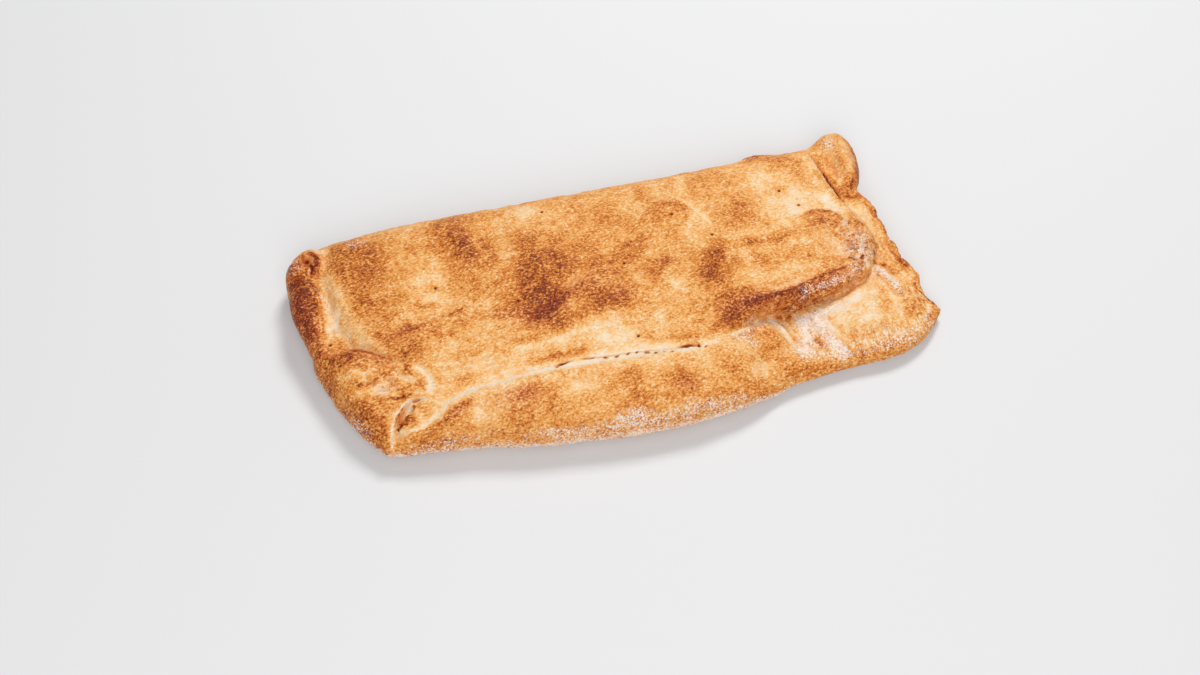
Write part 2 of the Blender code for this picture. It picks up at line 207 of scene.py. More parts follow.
def thin_end():
    """The right end: two bare layers, flat and floured, with a puffed middle."""
    front = [(44, -70), (66, -66.5), (90, -63.5), (118, -62), (133, -57.6), (142, -50.5), (149, -42.5)]
    right = [(149, -42.5), (147.4, -38), (145, -33), (144.5, -26), (141, -14), (136, 6), (135, 24),
             (131, 44)]
    back = [(44, 30), (90, 36), (131, 44)]
    left = [(44, -70), (42, -20), (44, 30)]

    def top(x, y):
        z = THIN_END + mounds(x, y, THIN_MOUNDS) + 1.2 * (1 - step(x, 60, 82))
        return z + 4.5 * step(y, -24, 4) * step(x, 108, 122) - 2.6 * step(x, 126, 144) * step(-y, -10, 30)

    def rim(x, y):
        return 4.5 + 4.5 * step(y, -24, 4)

    def reach(x, y):
        return 9.0 - 4.0 * step(x, 92, 128) * step(-y, 0, 30)

    return pad((front, right, back, left), top, level(LIFT), rim, reach, (28, 23))


def left_end():
    """The left end, turned up against the filling."""
    front = [(-118, -59.6), (-104, -61), (-90, -52)]
    right = [(-90, -52), (-96, 0), (-98, 52)]
    back = [(-141, 51), (-130, 57.5), (-112, 59.5), (-98, 52)]
    left = [(-118, -59.6), (-123, -55.5), (-129.2, -46), (-135.6, -33), (-141.5, -16), (-143.2, -8),
            (-143.2, 0), (-144.6, 8), (-147, 17), (-148.6, 28), (-147.5, 40), (-141, 51)]

    def top(x, y):
        return LEFT_END + 0.8 * step(y, -40, 0) - 4.0 * (1 - step(y, -58, -30))

    def rim(x, y):
        return 8.0 + 2.0 * step(y, -20, 20)

    return pad((front, right, back, left), top, level(LIFT), rim, level(13.0), (14, 26))


# ---- The filled middle and its top sheet ---------------------------------------------------------
# The second sheet lies over the curd cheese. It is sealed to the lower one along the seam at the front,
# and from there to the right its edge stays free as a thick, dark lip that ends in a pinched corner.

CROWN = 26.0              # the filled middle
SEAM_HEIGHT = 19.0        # edge of the top sheet along the seam
LIP_MIDDLE = 13.8         # half-way up the free lip
POCKET = 4.6              # how far the free lip is lifted off the sheet below
SEAM = [(-102, -50), (-88, -46.5), (-76, -42.5), (-52, -40.5), (-28, -40), (0, -42), (18, -44), (32, -44.5)]
LIP = [(46, -39), (60, -32), (72, -30), (86, -28.5), (96, -28), (105, -26), (112, -21.5), (118, -16)]
FREE_CORNER = [(123, -10), (126, -5), (129.5, -3)]
RIGHT_EDGE = [(129.5, -3), (128.5, 6), (125, 14), (122, 22), (119.8, 31), (118, 41), (117, 51), (116, 61)]
BACK_EDGE = [(-128, 56), (-100, 60), (-50, 60), (0, 59.5), (50, 60), (77, 61), (86, 64), (101, 63),
             (116, 61)]
LEFT_VALLEY = [(-102, -50), (-108, -36), (-116, -20), (-125, -6), (-130, 14), (-131, 36), (-128, 56)]
TOP_MOUNDS = [
    (2.2, (-34, 14), (20, 24), 20), (1.8, (-65, 38), (9, 16), 10), (2.2, (33, 33), (12, 9)),
    (1.9, (-2, -8), (14, 10)), (2.0, (50, 2), (8, 14), -20), (1.5, (-100, 0), (18, 30)),
    (-1.8, (-78, 6), (12, 16)), (-2.0, (12, 12), (11, 15), 30), (-2.2, (88, 34), (18, 14)),
    (-1.6, (74, -8), (16, 9)), (1.8, (108, 10), (13, 7), -15), (1.8, (58, -24), (14, 5), -12),
    (-1.2, (-20, -30), (60, 8)), (-0.9, (-50, 34), (7, 14)), (1.0, (-92, 40), (14, 9)),
    (0.8, (100, 52), (12, 6)), (-1.0, (66, 30), (8, 14), 20), (1.0, (-70, -24), (22, 7), 5),
    (-2.0, (104, -4), (9, 7), -20),
]


def roll(line, radii, sides, rings):
    """Closed round roll of dough, of varying radius, along a line."""
    spine = smooth_line(line, rings)
    radius = np.interp(np.linspace(0, 1, rings), np.linspace(0, 1, len(radii)), radii)
    ahead = np.gradient(spine, axis=0)
    ahead /= np.linalg.norm(ahead, axis=1)[:, None]
    bm = bmesh.new()
    made = []
    for centre, way, r in zip(spine, ahead, radius):
        side = np.array([way[1], -way[0], 0.0]) / np.hypot(way[0], way[1])
        up = np.cross(side, way)
        ring = bmesh.ops.create_circle(bm, segments=sides, radius=1.0)
        for v in ring["verts"]:
            v.co = centre + r * (v.co.x * side + v.co.y * up)
        made.append(ring["verts"])
    bm.edges.ensure_lookup_table()
    bmesh.ops.bridge_loops(bm, edges=bm.edges[:])
    for end, way in ((0, -0.6), (-1, 0.6)):
        cap = bmesh.ops.contextual_create(bm, geom=made[end])["faces"]
        bmesh.ops.poke(bm, faces=cap)["verts"][0].co = spine[end] + way * radius[end] * ahead[end]
    bmesh.ops.recalc_face_normals(bm, faces=bm.faces)
    return bm


def main_parcel():
    """The filled middle under the top sheet."""
    def top(x, y):
        z = CROWN - 2.2 * ((x + 10) / 110) ** 2 - 4.6 * ((y - 12) / 52) ** 2
        return z + mounds(x, y, TOP_MOUNDS) - 4.5 * step(x, 60, 122)

    def rim(x, y):
        seam = SEAM_HEIGHT - (SEAM_HEIGHT - LIP_MIDDLE) * step(x, 34, 62) - 2.0 * step(-x, 96, 116)
        return seam - (seam - 11.5) * step(y, 30, 54) * (1 - step(x, 100, 114))

    def under(x, y):
        lifted = np.maximum(step(x, 38, 60) * step(-y, -6, 16), step(x, 108, 120) * step(-y, -60, -40))
        inwards = y - np.interp(x, *np.array(LIP).T)
        pocket = step(x, 60, 74) * (1 - step(x, 104, 113)) * (1 - step(inwards, 3, 9))
        return LIFT + (THIN_END - 2.0 - LIFT) * lifted + POCKET * pocket

    def on_lip(x, y):
        return step(x, 40, 60) * step(-y, -4, 14)

    def reach(x, y):
        return 14 - 9.5 * on_lip(x, y) - 10 * step(x, 104, 114) * step(y, 6, 22)

    edges = (SEAM + LIP + FREE_CORNER, RIGHT_EDGE, BACK_EDGE, LEFT_VALLEY)
    return pad(edges, top, under, rim, reach, (52, 28), 6.0, lambda x, y: SHOULDER + 1.3 * on_lip(x, y))


def corner_knob():
    """The free corner of the top sheet, pinched into a knobbly end."""
    line = [(107, -21.5, 14), (113.5, -17.5, 13.6), (119, -11.5, 13.6), (122, -4.5, 14.2), (120, 3, 14.2)]
    return roll(line, [2.4, 4.4, 5.2, 4.8, 5, 5.8, 4.8, 2.6], 28, 28)


# ---- The folded ends -----------------------------------------------------------------------------
# At the left the sheet is rolled on itself and closed by a three-cornered flap, pressed down at its tip.
# At the right its back corner is folded in as a lobe, and the inner layer shows as a crisp ragged edge.

FLAP = 20.5               # the flap over the left end
FAR_LOBE = 14.5           # the folded back right corner
FLAP_MOUNDS = [
    (2.0, (-119, -20), (15, 7), -35), (1.8, (-105, -27), (4.5, 4)), (1.5, (-98.5, -30), (4, 4)),
    (1.2, (-130, -20), (8, 10)), (-1.8, (-117, -33), (8, 4), -10), (1.0, (-110, -42), (6, 5)),
]
LOBE_MOUNDS = [(3.8, (131, 48), (5, 15), 8), (2.4, (129, 64), (8, 4.5)), (-1.2, (122, 50), (3, 12), 10)]
CURL_MOUNDS = [
    (-4.2, (-136.5, 46.5), (2.6, 2.3)), (-1.6, (-137, 39.5), (1.6, 6), 12), (1.0, (-142.5, 41), (3.5, 5)),
]


def end_flap():
    """The flap folded from the left end over the top sheet."""
    front = [(-118, -59), (-113.5, -54), (-109, -46), (-101, -41.5), (-94.5, -35)]
    right = [(-94.5, -35), (-96, -28), (-104, -22)]
    back = [(-141, -1), (-126, -7.5), (-113, -16), (-104, -22)]
    left = [(-118, -59), (-128, -45.5), (-134.6, -33), (-140.3, -16), (-141, -1)]

    def top(x, y):
        return FLAP + mounds(x, y, FLAP_MOUNDS) - 5.5 * step(-y, 34, 60) - 3.0 * step(-x, 124, 142)

    def rim(x, y):
        return 10.5 + 7.6 * step(x + 0.5 * y, -142, -122)

    def reach(x, y):
        return 13 - 10.5 * step(x + 0.6 * y, -144, -120)

    return pad((front, right, back, left), top, level(8.0), rim, reach, (22, 20))


def crease_eye():
    """A small puff of dough left between the flap and the front fold."""
    front = [(-113.5, -54), (-107, -56), (-99.5, -51.5)]
    right = [(-99.5, -51.5), (-99.5, -49), (-101.5, -47)]
    back = [(-112, -51), (-107, -46.5), (-101.5, -47)]
    left = [(-113.5, -54), (-112, -51)]
    return pad((front, right, back, left), level(18.6), level(9.0), level(16.2), level(5.0), (10, 8), 3.0)


def rolled_rim():
    """The left edge of the sheet, rolled up on itself."""
    line = [(-134.5, -12, 12), (-137.2, -4, 13), (-138.8, 8, 13.8), (-140.6, 20, 14.4), (-141.4, 33, 14.2)]
    return roll(line, [3.6, 5.6, 6.4, 7.2, 7.6, 7.6, 6.4], 32, 36)


def corner_curl():
    """The end of the roll, curled into a short snail with a pit in its middle."""
    front = [(-148.5, 34.5), (-140, 32.5), (-131, 35)]
    right = [(-131, 35), (-127.5, 44), (-127.5, 53)]
    back = [(-141.5, 53), (-134, 56), (-127.5, 53)]
    left = [(-148.5, 34.5), (-147.5, 45), (-141.5, 53)]

    def top(x, y):
        return 21.0 + mounds(x, y, CURL_MOUNDS) - 2.0 * step(x, -138, -127)

    return pad((front, right, back, left), top, level(6.0), level(11.5), level(6.5), (15, 15))


def far_lobe():
    """The back right corner of the sheet, folded inwards beside the top sheet."""
    front = [(115, 28), (122, 25), (129.5, 29)]
    right = [(129.5, 29), (137, 40), (139.6, 53), (139, 63), (134.5, 70.5)]
    back = [(105, 59), (117, 63.5), (126, 69), (134.5, 70.5)]
    left = [(115, 28), (110, 44), (105, 59)]

    def top(x, y):
        return FAR_LOBE + mounds(x, y, LOBE_MOUNDS)

    return pad((front, right, back, left), top, level(2.5), level(9.5), level(7.0), (15, 17))


def crust_edge():
    """The crisp edge of the inner layer, standing a little proud along the right end."""
    right = [(143.5, -28), (144.5, -22), (142.5, -16), (139.6, -11), (139, -5), (137, 1), (137.4, 8),
             (136.4, 14), (136.8, 20), (134.5, 26), (130, 32)]
    front = [(132, -29), right[0]]
    back = [(125, 29), right[-1]]
    left = [(132, -29), (132.5, -14), (132, 4), (131.5, 18), (125, 29)]

    def top(x, y):
        return 13.2 - 3.4 * step(-y, -6, 26) + 0.4 * np.sin(y / 2.3) * np.sin(y / 5.9 + 1)

    def rim(x, y):
        return 12.0 - 3.6 * step(-y, -6, 26) + 0.4 * np.sin(y / 2.9 + 2) * np.sin(y / 7.1)

    return pad((front, right, back, left), top, level(6.0), rim, level(2.0), (6, 26), 3.5)


# ---- Baking the folds together -------------------------------------------------------------------
# In the oven the folds swell into each other, so the dough is one skin with soft creases between its
# folds. They are joined on a fine grid, eased, and set on the place the finished parcel holds.

SKIN_GRID = 1.04          # size of one facet of the skin, halved where it is creased most
EASING = 2                # times the joined skin is smoothed
CREASED = [               # reach and line of the parts whose facets are halved
    (10, [(-134, -8), (-118, -24), (-104, -36), (-108, -50)]), (8, [(-137, 34), (-136, 48)]),
    (4, [(-100, -52), (-76, -43), (-28, -40.5), (0, -43), (32, -44.5), (46, -39)]),
    (7, [(46, -33), (70, -27), (96, -24), (112, -18), (121, -8), (120, 4), (112, 10)]),
    (8, [(72, -34), (84, -44), (92, -54)]), (5, [(124, -12), (132, -24), (140, -40)]),
    (5, [(136, 24), (135, 4), (139, -16), (142, -30)]), (4, [(115, 60), (117.5, 44), (121, 22)]),
    (3, [(-134, 30), (-134, 14), (-137, 2)]),
]
FLAT = 0.12               # what lies lower than this is the flat underside
UPPER = 4.0               # facets are halved above this height only
PINHOLE = (0.6, 0.55)     # radii of one pinhole
ROUND_PINHOLE = 1.8       # and how far round it the facets are halved
PINHOLES = [(92, 35), (2, -33.4), (-107, -38.6), (-47, -4), (6, 6), (35, 27.4), (-24, 45), (-134, -2.4),
            (98, 23.4), (50, 11), (-82, 13)]


def placed(name, data):
    """An object of that name and data, in the scene."""
    made = bpy.data.objects.new(name, data)
    scene.collection.objects.link(made)
    return made


joined = bpy.data.meshes.new("folds")
gathered = bmesh.new()
for fold in (main_parcel, front_fold, thin_end, left_end, end_flap, crease_eye, rolled_rim, corner_curl,
             far_lobe, crust_edge, corner_knob, sole):
    bm = fold()
    bm.to_mesh(joined)
    gathered.from_mesh(joined)
    bm.free()
low = np.min([v.co for v in gathered.verts], axis=0)
high = np.max([v.co for v in gathered.verts], axis=0)
cad_low, cad_high = [np.array(corner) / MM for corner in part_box("khachapuri")]
plan_shift = np.append((cad_low + cad_high - low - high)[:2] / 2, cad_low[2] - low[2])
bmesh.ops.translate(gathered, verts=gathered.verts, vec=Vector(plan_shift))
bmesh.ops.scale(gathered, verts=gathered.verts, vec=Vector((MM, MM, MM)))
gathered.to_mesh(joined)
gathered.free()
raw = placed("folds", joined)
remesh = raw.modifiers.new("grow_together", "REMESH")
remesh.mode = "VOXEL"
remesh.voxel_size = SKIN_GRID * MM
bpy.context.view_layer.update()
baked = bpy.data.meshes.new_from_object(raw.evaluated_get(bpy.context.evaluated_depsgraph_get()))
bpy.data.objects.remove(raw)
bpy.data.meshes.remove(joined)

# The flat underside, which lies on the table, is one sheet without the fine grid
bm = bmesh.new()
bm.from_mesh(baked)
bpy.data.meshes.remove(baked)
under = [f for f in bm.faces if max(v.co.z for v in f.verts) < (FLAT + 0.5 * SKIN_GRID) * MM]
bmesh.ops.delete(bm, geom=under, context="FACES")
for edge in [e for e in bm.edges if e.is_boundary]:
    for v in edge.verts:
        v.co.z = 0.0
rest = [v for v in bm.verts if not v.is_boundary]
for _ in range(EASING):
    bmesh.ops.smooth_vert(bm, verts=rest, factor=0.5, use_axis_x=True, use_axis_y=True, use_axis_z=True)
middles = np.array([f.calc_center_median() for f in bm.faces]) / MM - plan_shift
fine = np.zeros(len(middles), bool)
for reach, line in CREASED:
    fine |= (away(middles[:, 0], middles[:, 1], smooth_line(line, 60))[0] < reach) & (middles[:, 2] > UPPER)
for px, py in PINHOLES:
    fine |= (np.abs(middles[:, :2] - (px, py)).max(1) < ROUND_PINHOLE) & (middles[:, 2] > UPPER)
halved = {e for f, chosen in zip(bm.faces, fine) if chosen for e in f.edges}
bmesh.ops.subdivide_edges(bm, edges=list(halved), cuts=1, use_grid_fill=True)
bmesh.ops.triangle_fill(bm, edges=[e for e in bm.edges if e.is_boundary], use_beauty=False)
bmesh.ops.recalc_face_normals(bm, faces=bm.faces)
skin = bpy.data.meshes.new("khachapuri_dough")
bm.to_mesh(skin)
bm.free()


# ---- Creases, puckers and blisters ---------------------------------------------------------------
# Marks that the hands and the oven leave in the skin: pinched creases, cracks where the dough tore,
# wrinkles where it was drawn in, small blisters, and pinholes pricked to let the steam out.

count = len(skin.vertices)
points = np.empty(count * 3)
skin.vertices.foreach_get("co", points)
points = points.reshape(-1, 3) / MM - plan_shift
edges = np.empty(len(skin.edges) * 2, int)
skin.edges.foreach_get("vertices", edges)
edges = edges.reshape(-1, 2)
links = np.bincount(edges.ravel(), minlength=count)[:, None]
TOUCHING = 0.02           # what lies lower than this touches the table
underside = points[:, 2] < TOUCHING


def normals(p):
    """Point normals of the skin at the given places."""
    skin.vertices.foreach_set("co", ((p + plan_shift) * MM).ravel())
    skin.update()
    n = np.empty(count * 3)
    skin.vertices.foreach_get("normal", n)
    return n.reshape(-1, 3)


def spread(values, times):
    """Values over the skin, evened out between neighbours."""
    for _ in range(times):
        total = np.stack([
            np.bincount(edges[:, 0], values[edges[:, 1], k], count)
            + np.bincount(edges[:, 1], values[edges[:, 0], k], count)
            for k in range(values.shape[1])
        ], -1)
        values = 0.5 * values + 0.5 * total / links
    return values


def crags(p, size, seed, layers=3):
    """Uneven relief of about that size, from -1 to 1, at points in millimetres."""
    start = Vector((seed * 17.3, seed * 5.1, seed * 9.7))
    return np.array([noise.fractal(Vector(c) + start, 0.9, 2.1, layers) for c in p / size])


def near_line(p, line, wide):
    """Points within reach of a line in plan: which they are, their distance and their place along it."""
    route = smooth_line(line, max(12, 6 * len(line)))
    inside = np.all((p[:, :2] > route.min(0) - 3 * wide) & (p[:, :2] < route.max(0) + 3 * wide), axis=1)
    which = np.nonzero(inside)[0]
    gap, where = away(p[which, 0], p[which, 1], route)
    return which, gap, where


def patch(place, size, turn=0):
    """A soft patch in plan, over the skin."""
    return bell(points[:, 0], points[:, 1], place, size, turn)


# Height (or depth), width, and the line in plan. The ends of each fade out.
CREASES = [
    # flap, crack and eye
    (-1.0, 0.9, [(-135, -1.5), (-129, -6), (-122, -9.5), (-113, -16.5), (-106, -22.5)]),
    (-0.9, 1.0, [(-102, -23.5), (-96.5, -27.5), (-93.5, -33.5), (-96, -39)]),
    (-0.8, 0.8, [(-110, -23.5), (-107.5, -28.5), (-104, -31.5), (-101, -34)]),
    (-0.6, 0.7, [(-113, -36), (-107, -38.5), (-99, -38)]),
    (-0.8, 0.6, [(-107.3, -35.5), (-106.2, -38), (-106.8, -41)]),
    (-1.4, 0.8, [(-97, -42.5), (-103, -41.8), (-107.6, -44.4), (-110.6, -47.4), (-112.6, -52.5)]),
    (0.6, 0.7, [(-104, -41.6), (-108.8, -44), (-112.4, -47.4), (-114.8, -52.6), (-116.6, -59)]),
    (-2.4, 1.3, [(-112.4, -53), (-111.2, -50.6), (-110, -48.6)]),
    (-1.2, 0.9, [(-111, -51), (-108, -52.2), (-105, -52.4)]),
    (-0.6, 0.9, [(-116.6, -60), (-114.8, -56), (-113, -52)]),
    (-0.9, 1.4, [(-112, -54), (-105, -55), (-98, -53), (-90, -49.5)]),
    (0.6, 1.6, [(-126, -27), (-122, -29), (-116, -28)]),
    (-0.5, 1.8, [(-129, -30), (-124, -26), (-120, -24.5)]),
    (-0.5, 1.0, [(-121, -34), (-116, -33), (-111, -34.5)]),
    (-0.5, 0.8, [(-138, -20), (-133, -33), (-126, -45), (-120, -53)]),
    (-0.5, 0.5, [(-131, -7), (-124, -11.5), (-117, -16.5), (-110.5, -22)]),
    (-0.6, 0.6, [(-112.6, -26), (-109.6, -24.6), (-107.4, -27.4), (-109.6, -30.4), (-112.4, -29)]),
    (-0.7, 0.6, [(-105, -25.6), (-102.6, -29), (-99.6, -31.4)]),
    (-0.6, 0.5, [(-102.6, -33.6), (-99.6, -35.6), (-96.8, -38.6)]),
    (-0.5, 0.6, [(-115, -40), (-109.6, -40.6), (-104, -39.6)]),
    (0.5, 0.8, [(-117, -31.5), (-112, -32.4), (-106.5, -33.4)]),
    (-0.4, 0.6, [(-124, -35), (-119, -40), (-116, -46)]),
    (0.4, 0.9, [(-128, -36), (-123, -42), (-119, -49)]),
    # valley behind the rolled rim
    (-0.8, 1.0, [(-134.5, 33), (-134, 24), (-135.4, 12), (-136.6, 2)]),
    (-0.3, 0.7, [(-128.6, 33), (-128, 27), (-126.6, 21)]),
    (-0.3, 0.6, [(-130.6, 22), (-129, 15), (-126.4, 9)]),
    (-0.25, 0.6, [(-124.4, 12), (-121.6, 4), (-118.6, -2)]),
    (0.4, 1.3, [(-129, 37), (-126.8, 25), (-124, 12), (-120.4, 0), (-116.6, -8), (-111, -15),
                (-108.6, -19)]),
    (-1.9, 0.9, [(-133.6, 29), (-137.6, 33.6), (-142, 36), (-147, 36.4)]),
    (0.9, 1.3, [(-146, 33.8), (-141.4, 33.4), (-136.8, 29.6), (-134, 24.4)]),
    (-1.0, 0.9, [(-133.6, 47), (-134.6, 42), (-136.4, 38.4), (-138.4, 35.4)]),
    (0.7, 1.0, [(-139.6, 49), (-136, 50.8), (-132.6, 49), (-131.2, 45), (-132.6, 41)]),
    # top sheet, left part
    (-0.35, 0.7, [(-119, 38), (-119.6, 31), (-118.6, 25)]),
    (-0.35, 0.9, [(-97, 14), (-97.6, 4), (-94.5, -8)]),
    (0.45, 1.6, [(-94, -27), (-82, -28.6), (-66, -27.6), (-52, -29)]),
    (-0.4, 1.4, [(-92, -31.5), (-78, -33), (-60, -32)]),
    (-0.45, 1.2, [(-61, -10), (-56, -13.5), (-48, -14.8), (-42, -14.5)]),
    (0.5, 1.6, [(-82, 5), (-88, 3), (-95, 4)]), (0.5, 2.8, [(-67, 41), (-65, 33), (-62.5, 26), (-60.5, 22)]),
    (-0.5, 1.5, [(-59.5, 36), (-57.5, 28), (-56, 22)]), (-0.35, 1.0, [(-57, 37), (-54, 38.6), (-50.5, 39)]),
    # middle
    (-1.1, 1.8, [(-13, 5), (-20, 0.5), (-28, -5.5), (-36, -11), (-45, -15.5)]),
    (0.5, 1.6, [(-16, -1), (-22, -5.5), (-28, -10)]), (-0.5, 0.7, [(-19, -6.6), (-24, -9), (-30, -13.4)]),
    (-0.5, 1.0, [(-50, -3), (-44, 0), (-37, 4), (-32, 10)]),
    (-0.6, 0.8, [(-36, 33.6), (-32, 31.4), (-28, 30.4)]),
    (-0.4, 0.9, [(-19, -3), (-18, -9), (-14, -14), (-8, -17)]),
    (0.5, 1.6, [(2, 13), (8, 16), (14, 18.6), (21, 18)]),
    (-0.45, 1.2, [(-10, 5), (-2, 4.4), (6, 6.5), (12, 10)]),
    (0.55, 1.1, [(19, 25), (24, 31), (31, 34), (38, 32), (42, 27), (39, 21.6), (31, 19.4), (23, 20.6)]),
    (-0.25, 0.7, [(28, 51), (35, 42), (42, 36), (48, 28), (51, 19)]),
    (-0.5, 1.4, [(16, 4), (17.4, -3), (17, -11)]),
    (-0.3, 0.7, [(-26, -24), (-14, -25), (-2, -24.6), (9, -26)]),
    (0.3, 2.4, [(38, -14), (43, -9), (48, -3), (52, 4)]), (-0.4, 1.2, [(42, -16), (47, -11), (53, -4)]),
    # seam
    (0.6, 1.5, [(-48, -36.4), (-38, -34.6), (-28, -34.4), (-20, -36.6)]),
    (0.5, 1.4, [(-94, -49.6), (-84, -46.6), (-72, -45.4), (-40, -44.6), (0, -46.6), (26, -48)]),
    (-0.7, 1.6, [(-92, -48), (-78, -43), (-52, -41.6), (-28, -41), (0, -43), (20, -45), (34, -44.6)]),
    (0.5, 1.4, [(12, -37), (20, -38.6), (30, -39), (40, -36)]),
    # lip and thin end
    (0.7, 1.1, [(50, -28.6), (62, -28), (74, -26.6), (86, -23), (96, -19.6), (104, -17.4), (112, -16)]),
    (-0.5, 1.2, [(62, -22), (74, -22.6), (84, -20)]),
    (-1.3, 1.3, [(102, -13.4), (109, -11), (114.4, -6), (115.4, 0), (111, 5)]),
    (-1.3, 0.8, [(112.4, -10), (116, -13), (120.6, -15.4)]),
    (-1.4, 0.8, [(114.6, -5), (119, -6.6), (125.6, -7)]),
    (-1.1, 0.7, [(115.4, 1.4), (120, 1.2), (127, 3.4)]),
    (-0.9, 0.8, [(111.6, 5.4), (115.4, 8.6), (118.6, 12)]),
    (0.7, 1.4, [(98, 15.4), (103, 17.2), (108.6, 16.4), (114, 12.8), (118, 8.6)]),
    (-0.45, 1.0, [(100, 12.6), (106, 13.4), (111, 11)]), (-0.4, 0.8, [(103, 8), (108, 9), (112.6, 7)]),
    (-0.9, 1.0, [(97, -28.6), (106, -26.4), (113, -22), (119, -16)]),
    (0.7, 1.4, [(66, -32), (70, -36.5), (73.2, -42), (75, -48)]),
    (-0.8, 1.5, [(70.6, -32.4), (74, -37.5), (76.6, -44), (77.6, -51)]),
    (-0.6, 1.2, [(83, -31), (84.6, -40), (87.5, -50), (91, -59)]),
    (0.6, 1.4, [(86, -30), (88, -40), (92, -50), (96.5, -58.5)]),
    (-0.5, 1.1, [(89.5, -31), (92.4, -41), (96.6, -51), (100.5, -58)]),
    (-0.5, 1.2, [(121, -18), (126, -27), (127.6, -38), (127, -50)]),
    (0.5, 1.2, [(122, -13), (127.4, -22), (131, -30), (131.6, -40)]),
    (-1.3, 0.9, [(124.4, -10), (128, -13.6), (131.4, -18), (133.6, -22)]),
    (-0.5, 0.9, [(112, -46), (118, -50), (126, -54)]),
    (-0.9, 0.8, [(124, 28.6), (129.6, 26), (133, 21), (134, 12), (133.6, 2)]),
    (-0.8, 1.0, [(133, 1), (135, -8), (138.4, -16), (141.6, -22)]),
    # right edge of the top sheet and the far lobe
    (-2.6, 0.8, [(116.4, 59.6), (117.8, 50), (118.8, 41), (120.4, 31), (122, 23)]),
    (-1.4, 1.0, [(119.4, 38), (120.8, 31), (122, 24)]),
    (0.5, 1.4, [(112.6, 58), (114, 48), (115, 36), (117, 25)]),
    (-1.0, 1.2, [(122.6, 26.6), (127, 27.6), (131.4, 31.6)]),
    (-0.6, 1.6, [(126.4, 58), (125, 46), (124.4, 36)]), (0.6, 1.4, [(131, 58), (133, 49), (132.6, 40)]),
    # front fold
    (-0.5, 1.4, [(-97, -60), (-88, -55), (-78, -51.6)]),
    (0.5, 1.8, [(-92, -57.6), (-84, -52.6), (-76, -49)]),
    (-0.4, 1.2, [(-62, -56.6), (-52, -56), (-44, -54.6)]),
]
relief = np.zeros(count)
bend = crags(points, 7.0, 1, 2)
for height, wide, line in CREASES:
    which, gap, where = near_line(points, line, 2.5 * wide)
    gap = np.abs(gap + 0.5 * wide * bend[which])
    fade = np.clip(np.minimum(where, 1 - where) * 6, 0, 1)
    relief[which] += height * np.exp(-((gap / wide) ** 2)) * (0.35 + 0.65 * fade)

# The pits of the curl and the crease, small gaps left open along the seam, and the pinholes
GAPS = [
    (1.2, (-136.6, 47.4), (1.8, 1.5), 30), (0.8, (-134.9, 43.4), (0.8, 1.7), 10),
    (1.2, (-110.8, -50.2), (1.0, 2.2), -30), (1.6, (-34.6, -39.2), (3.8, 0.5), 4),
    (1.2, (-23, -39.0), (3.4, 0.4), -4), (0.8, (-37.6, -40.2), (1.0, 0.4), 30),
    (0.8, (-15.4, -40.4), (1.4, 0.45), -20), (1.0, (-10.2, -41.2), (1.2, 0.4), 5),
    (0.8, (-5, -41.2), (1.4, 0.4), 20), (0.8, (-1, -41.4), (1.0, 0.35), 10),
    (1.2, (3.4, -42.8), (1.6, 0.5), -25), (1.0, (7.2, -44), (1.0, 0.5), 10), (0.8, (10.8, -45), (1.0, 0.4)),
    (0.8, (14.6, -45.4), (1.0, 0.4), 15), (2.6, (22.6, -43.2), (4.6, 0.7), -5),
    (1.6, (27.6, -44), (0.8, 1.2), 10), (0.8, (30.4, -45.6), (1.0, 0.4), 30),
]
for depth, place, size, *turn in GAPS:
    relief -= depth * patch(place, size, *turn)
for place in PINHOLES:
    relief -= 1.1 * patch(place, PINHOLE)

# Knobbly, torn dough on the pinched corner, the lip, the crust edge and the curl
KNOBBLY = [
    (1.0, (118, -8), (7, 8), 40), (1.0, (122, 2), (6, 6)), (0.9, (126, -6), (3, 9), 15),
    (0.8, (112, 8), (7, 4), -20), (0.7, (110, -18), (7, 4), 20), (0.8, (138, -14), (4, 14), 15),
    (0.7, (135, 12), (3, 14)), (0.7, (138, -40), (8, 10)), (0.6, (-141, 34), (7, 5)),
    (0.4, (-141, 15), (6, 18), 5), (0.5, (-137, 46), (6, 6)), (0.4, (95, -23), (14, 4), 12),
    (0.5, (87, -46), (9, 12), -15), (0.35, (-125, -28), (10, 8)), (0.35, (-106, -45), (9, 7)),
    (0.4, (10, -44), (40, 2.5), -3),
]
knobbly = np.clip(mounds(points[:, 0], points[:, 1], KNOBBLY), 0, 1)
relief += knobbly * (1.1 * crags(points, 3.4, 2, 3) - 0.9 * np.abs(crags(points, 1.9, 3, 2)))
lumpy = np.clip(patch((120, -6), (9, 13), 20) * 1.5, 0, 1)
relief += lumpy * (1.8 * crags(points, 5.6, 14, 2) - 1.5 * np.abs(crags(points, 3.0, 15, 2)))

# Dough that was drawn in and crumpled: the flap and the eye, the curl, the valley and the thin corner
PUCKERED = [
    (1.0, (-113, -29), (13, 8), -20), (0.9, (-104, -46), (6, 6)), (0.6, (-126, -14), (8, 5), -30),
    (0.5, (-122, -42), (8, 8), 30), (0.8, (-137, 43), (6, 8)), (0.5, (-128, 8), (4, 16), -8),
    (0.6, (-141, 30), (6, 6)), (0.5, (139, -36), (6, 11), 10), (0.6, (137, 4), (3, 20), 6),
    (0.5, (127, -22), (4, 10), 20), (0.35, (108, 12), (10, 6), -10), (0.5, (-140, 0), (4, 10)),
    (0.7, (118, -5), (7, 11), 20), (0.4, (112, -20), (10, 4), 20), (0.5, (-142, 16), (6, 16), 5),
]
puckered = np.clip(mounds(points[:, 0], points[:, 1], PUCKERED), 0, 1)
relief += puckered * (0.8 * crags(points, 4.6, 8, 2) - 0.35 * np.abs(crags(points, 2.6, 9, 2)))

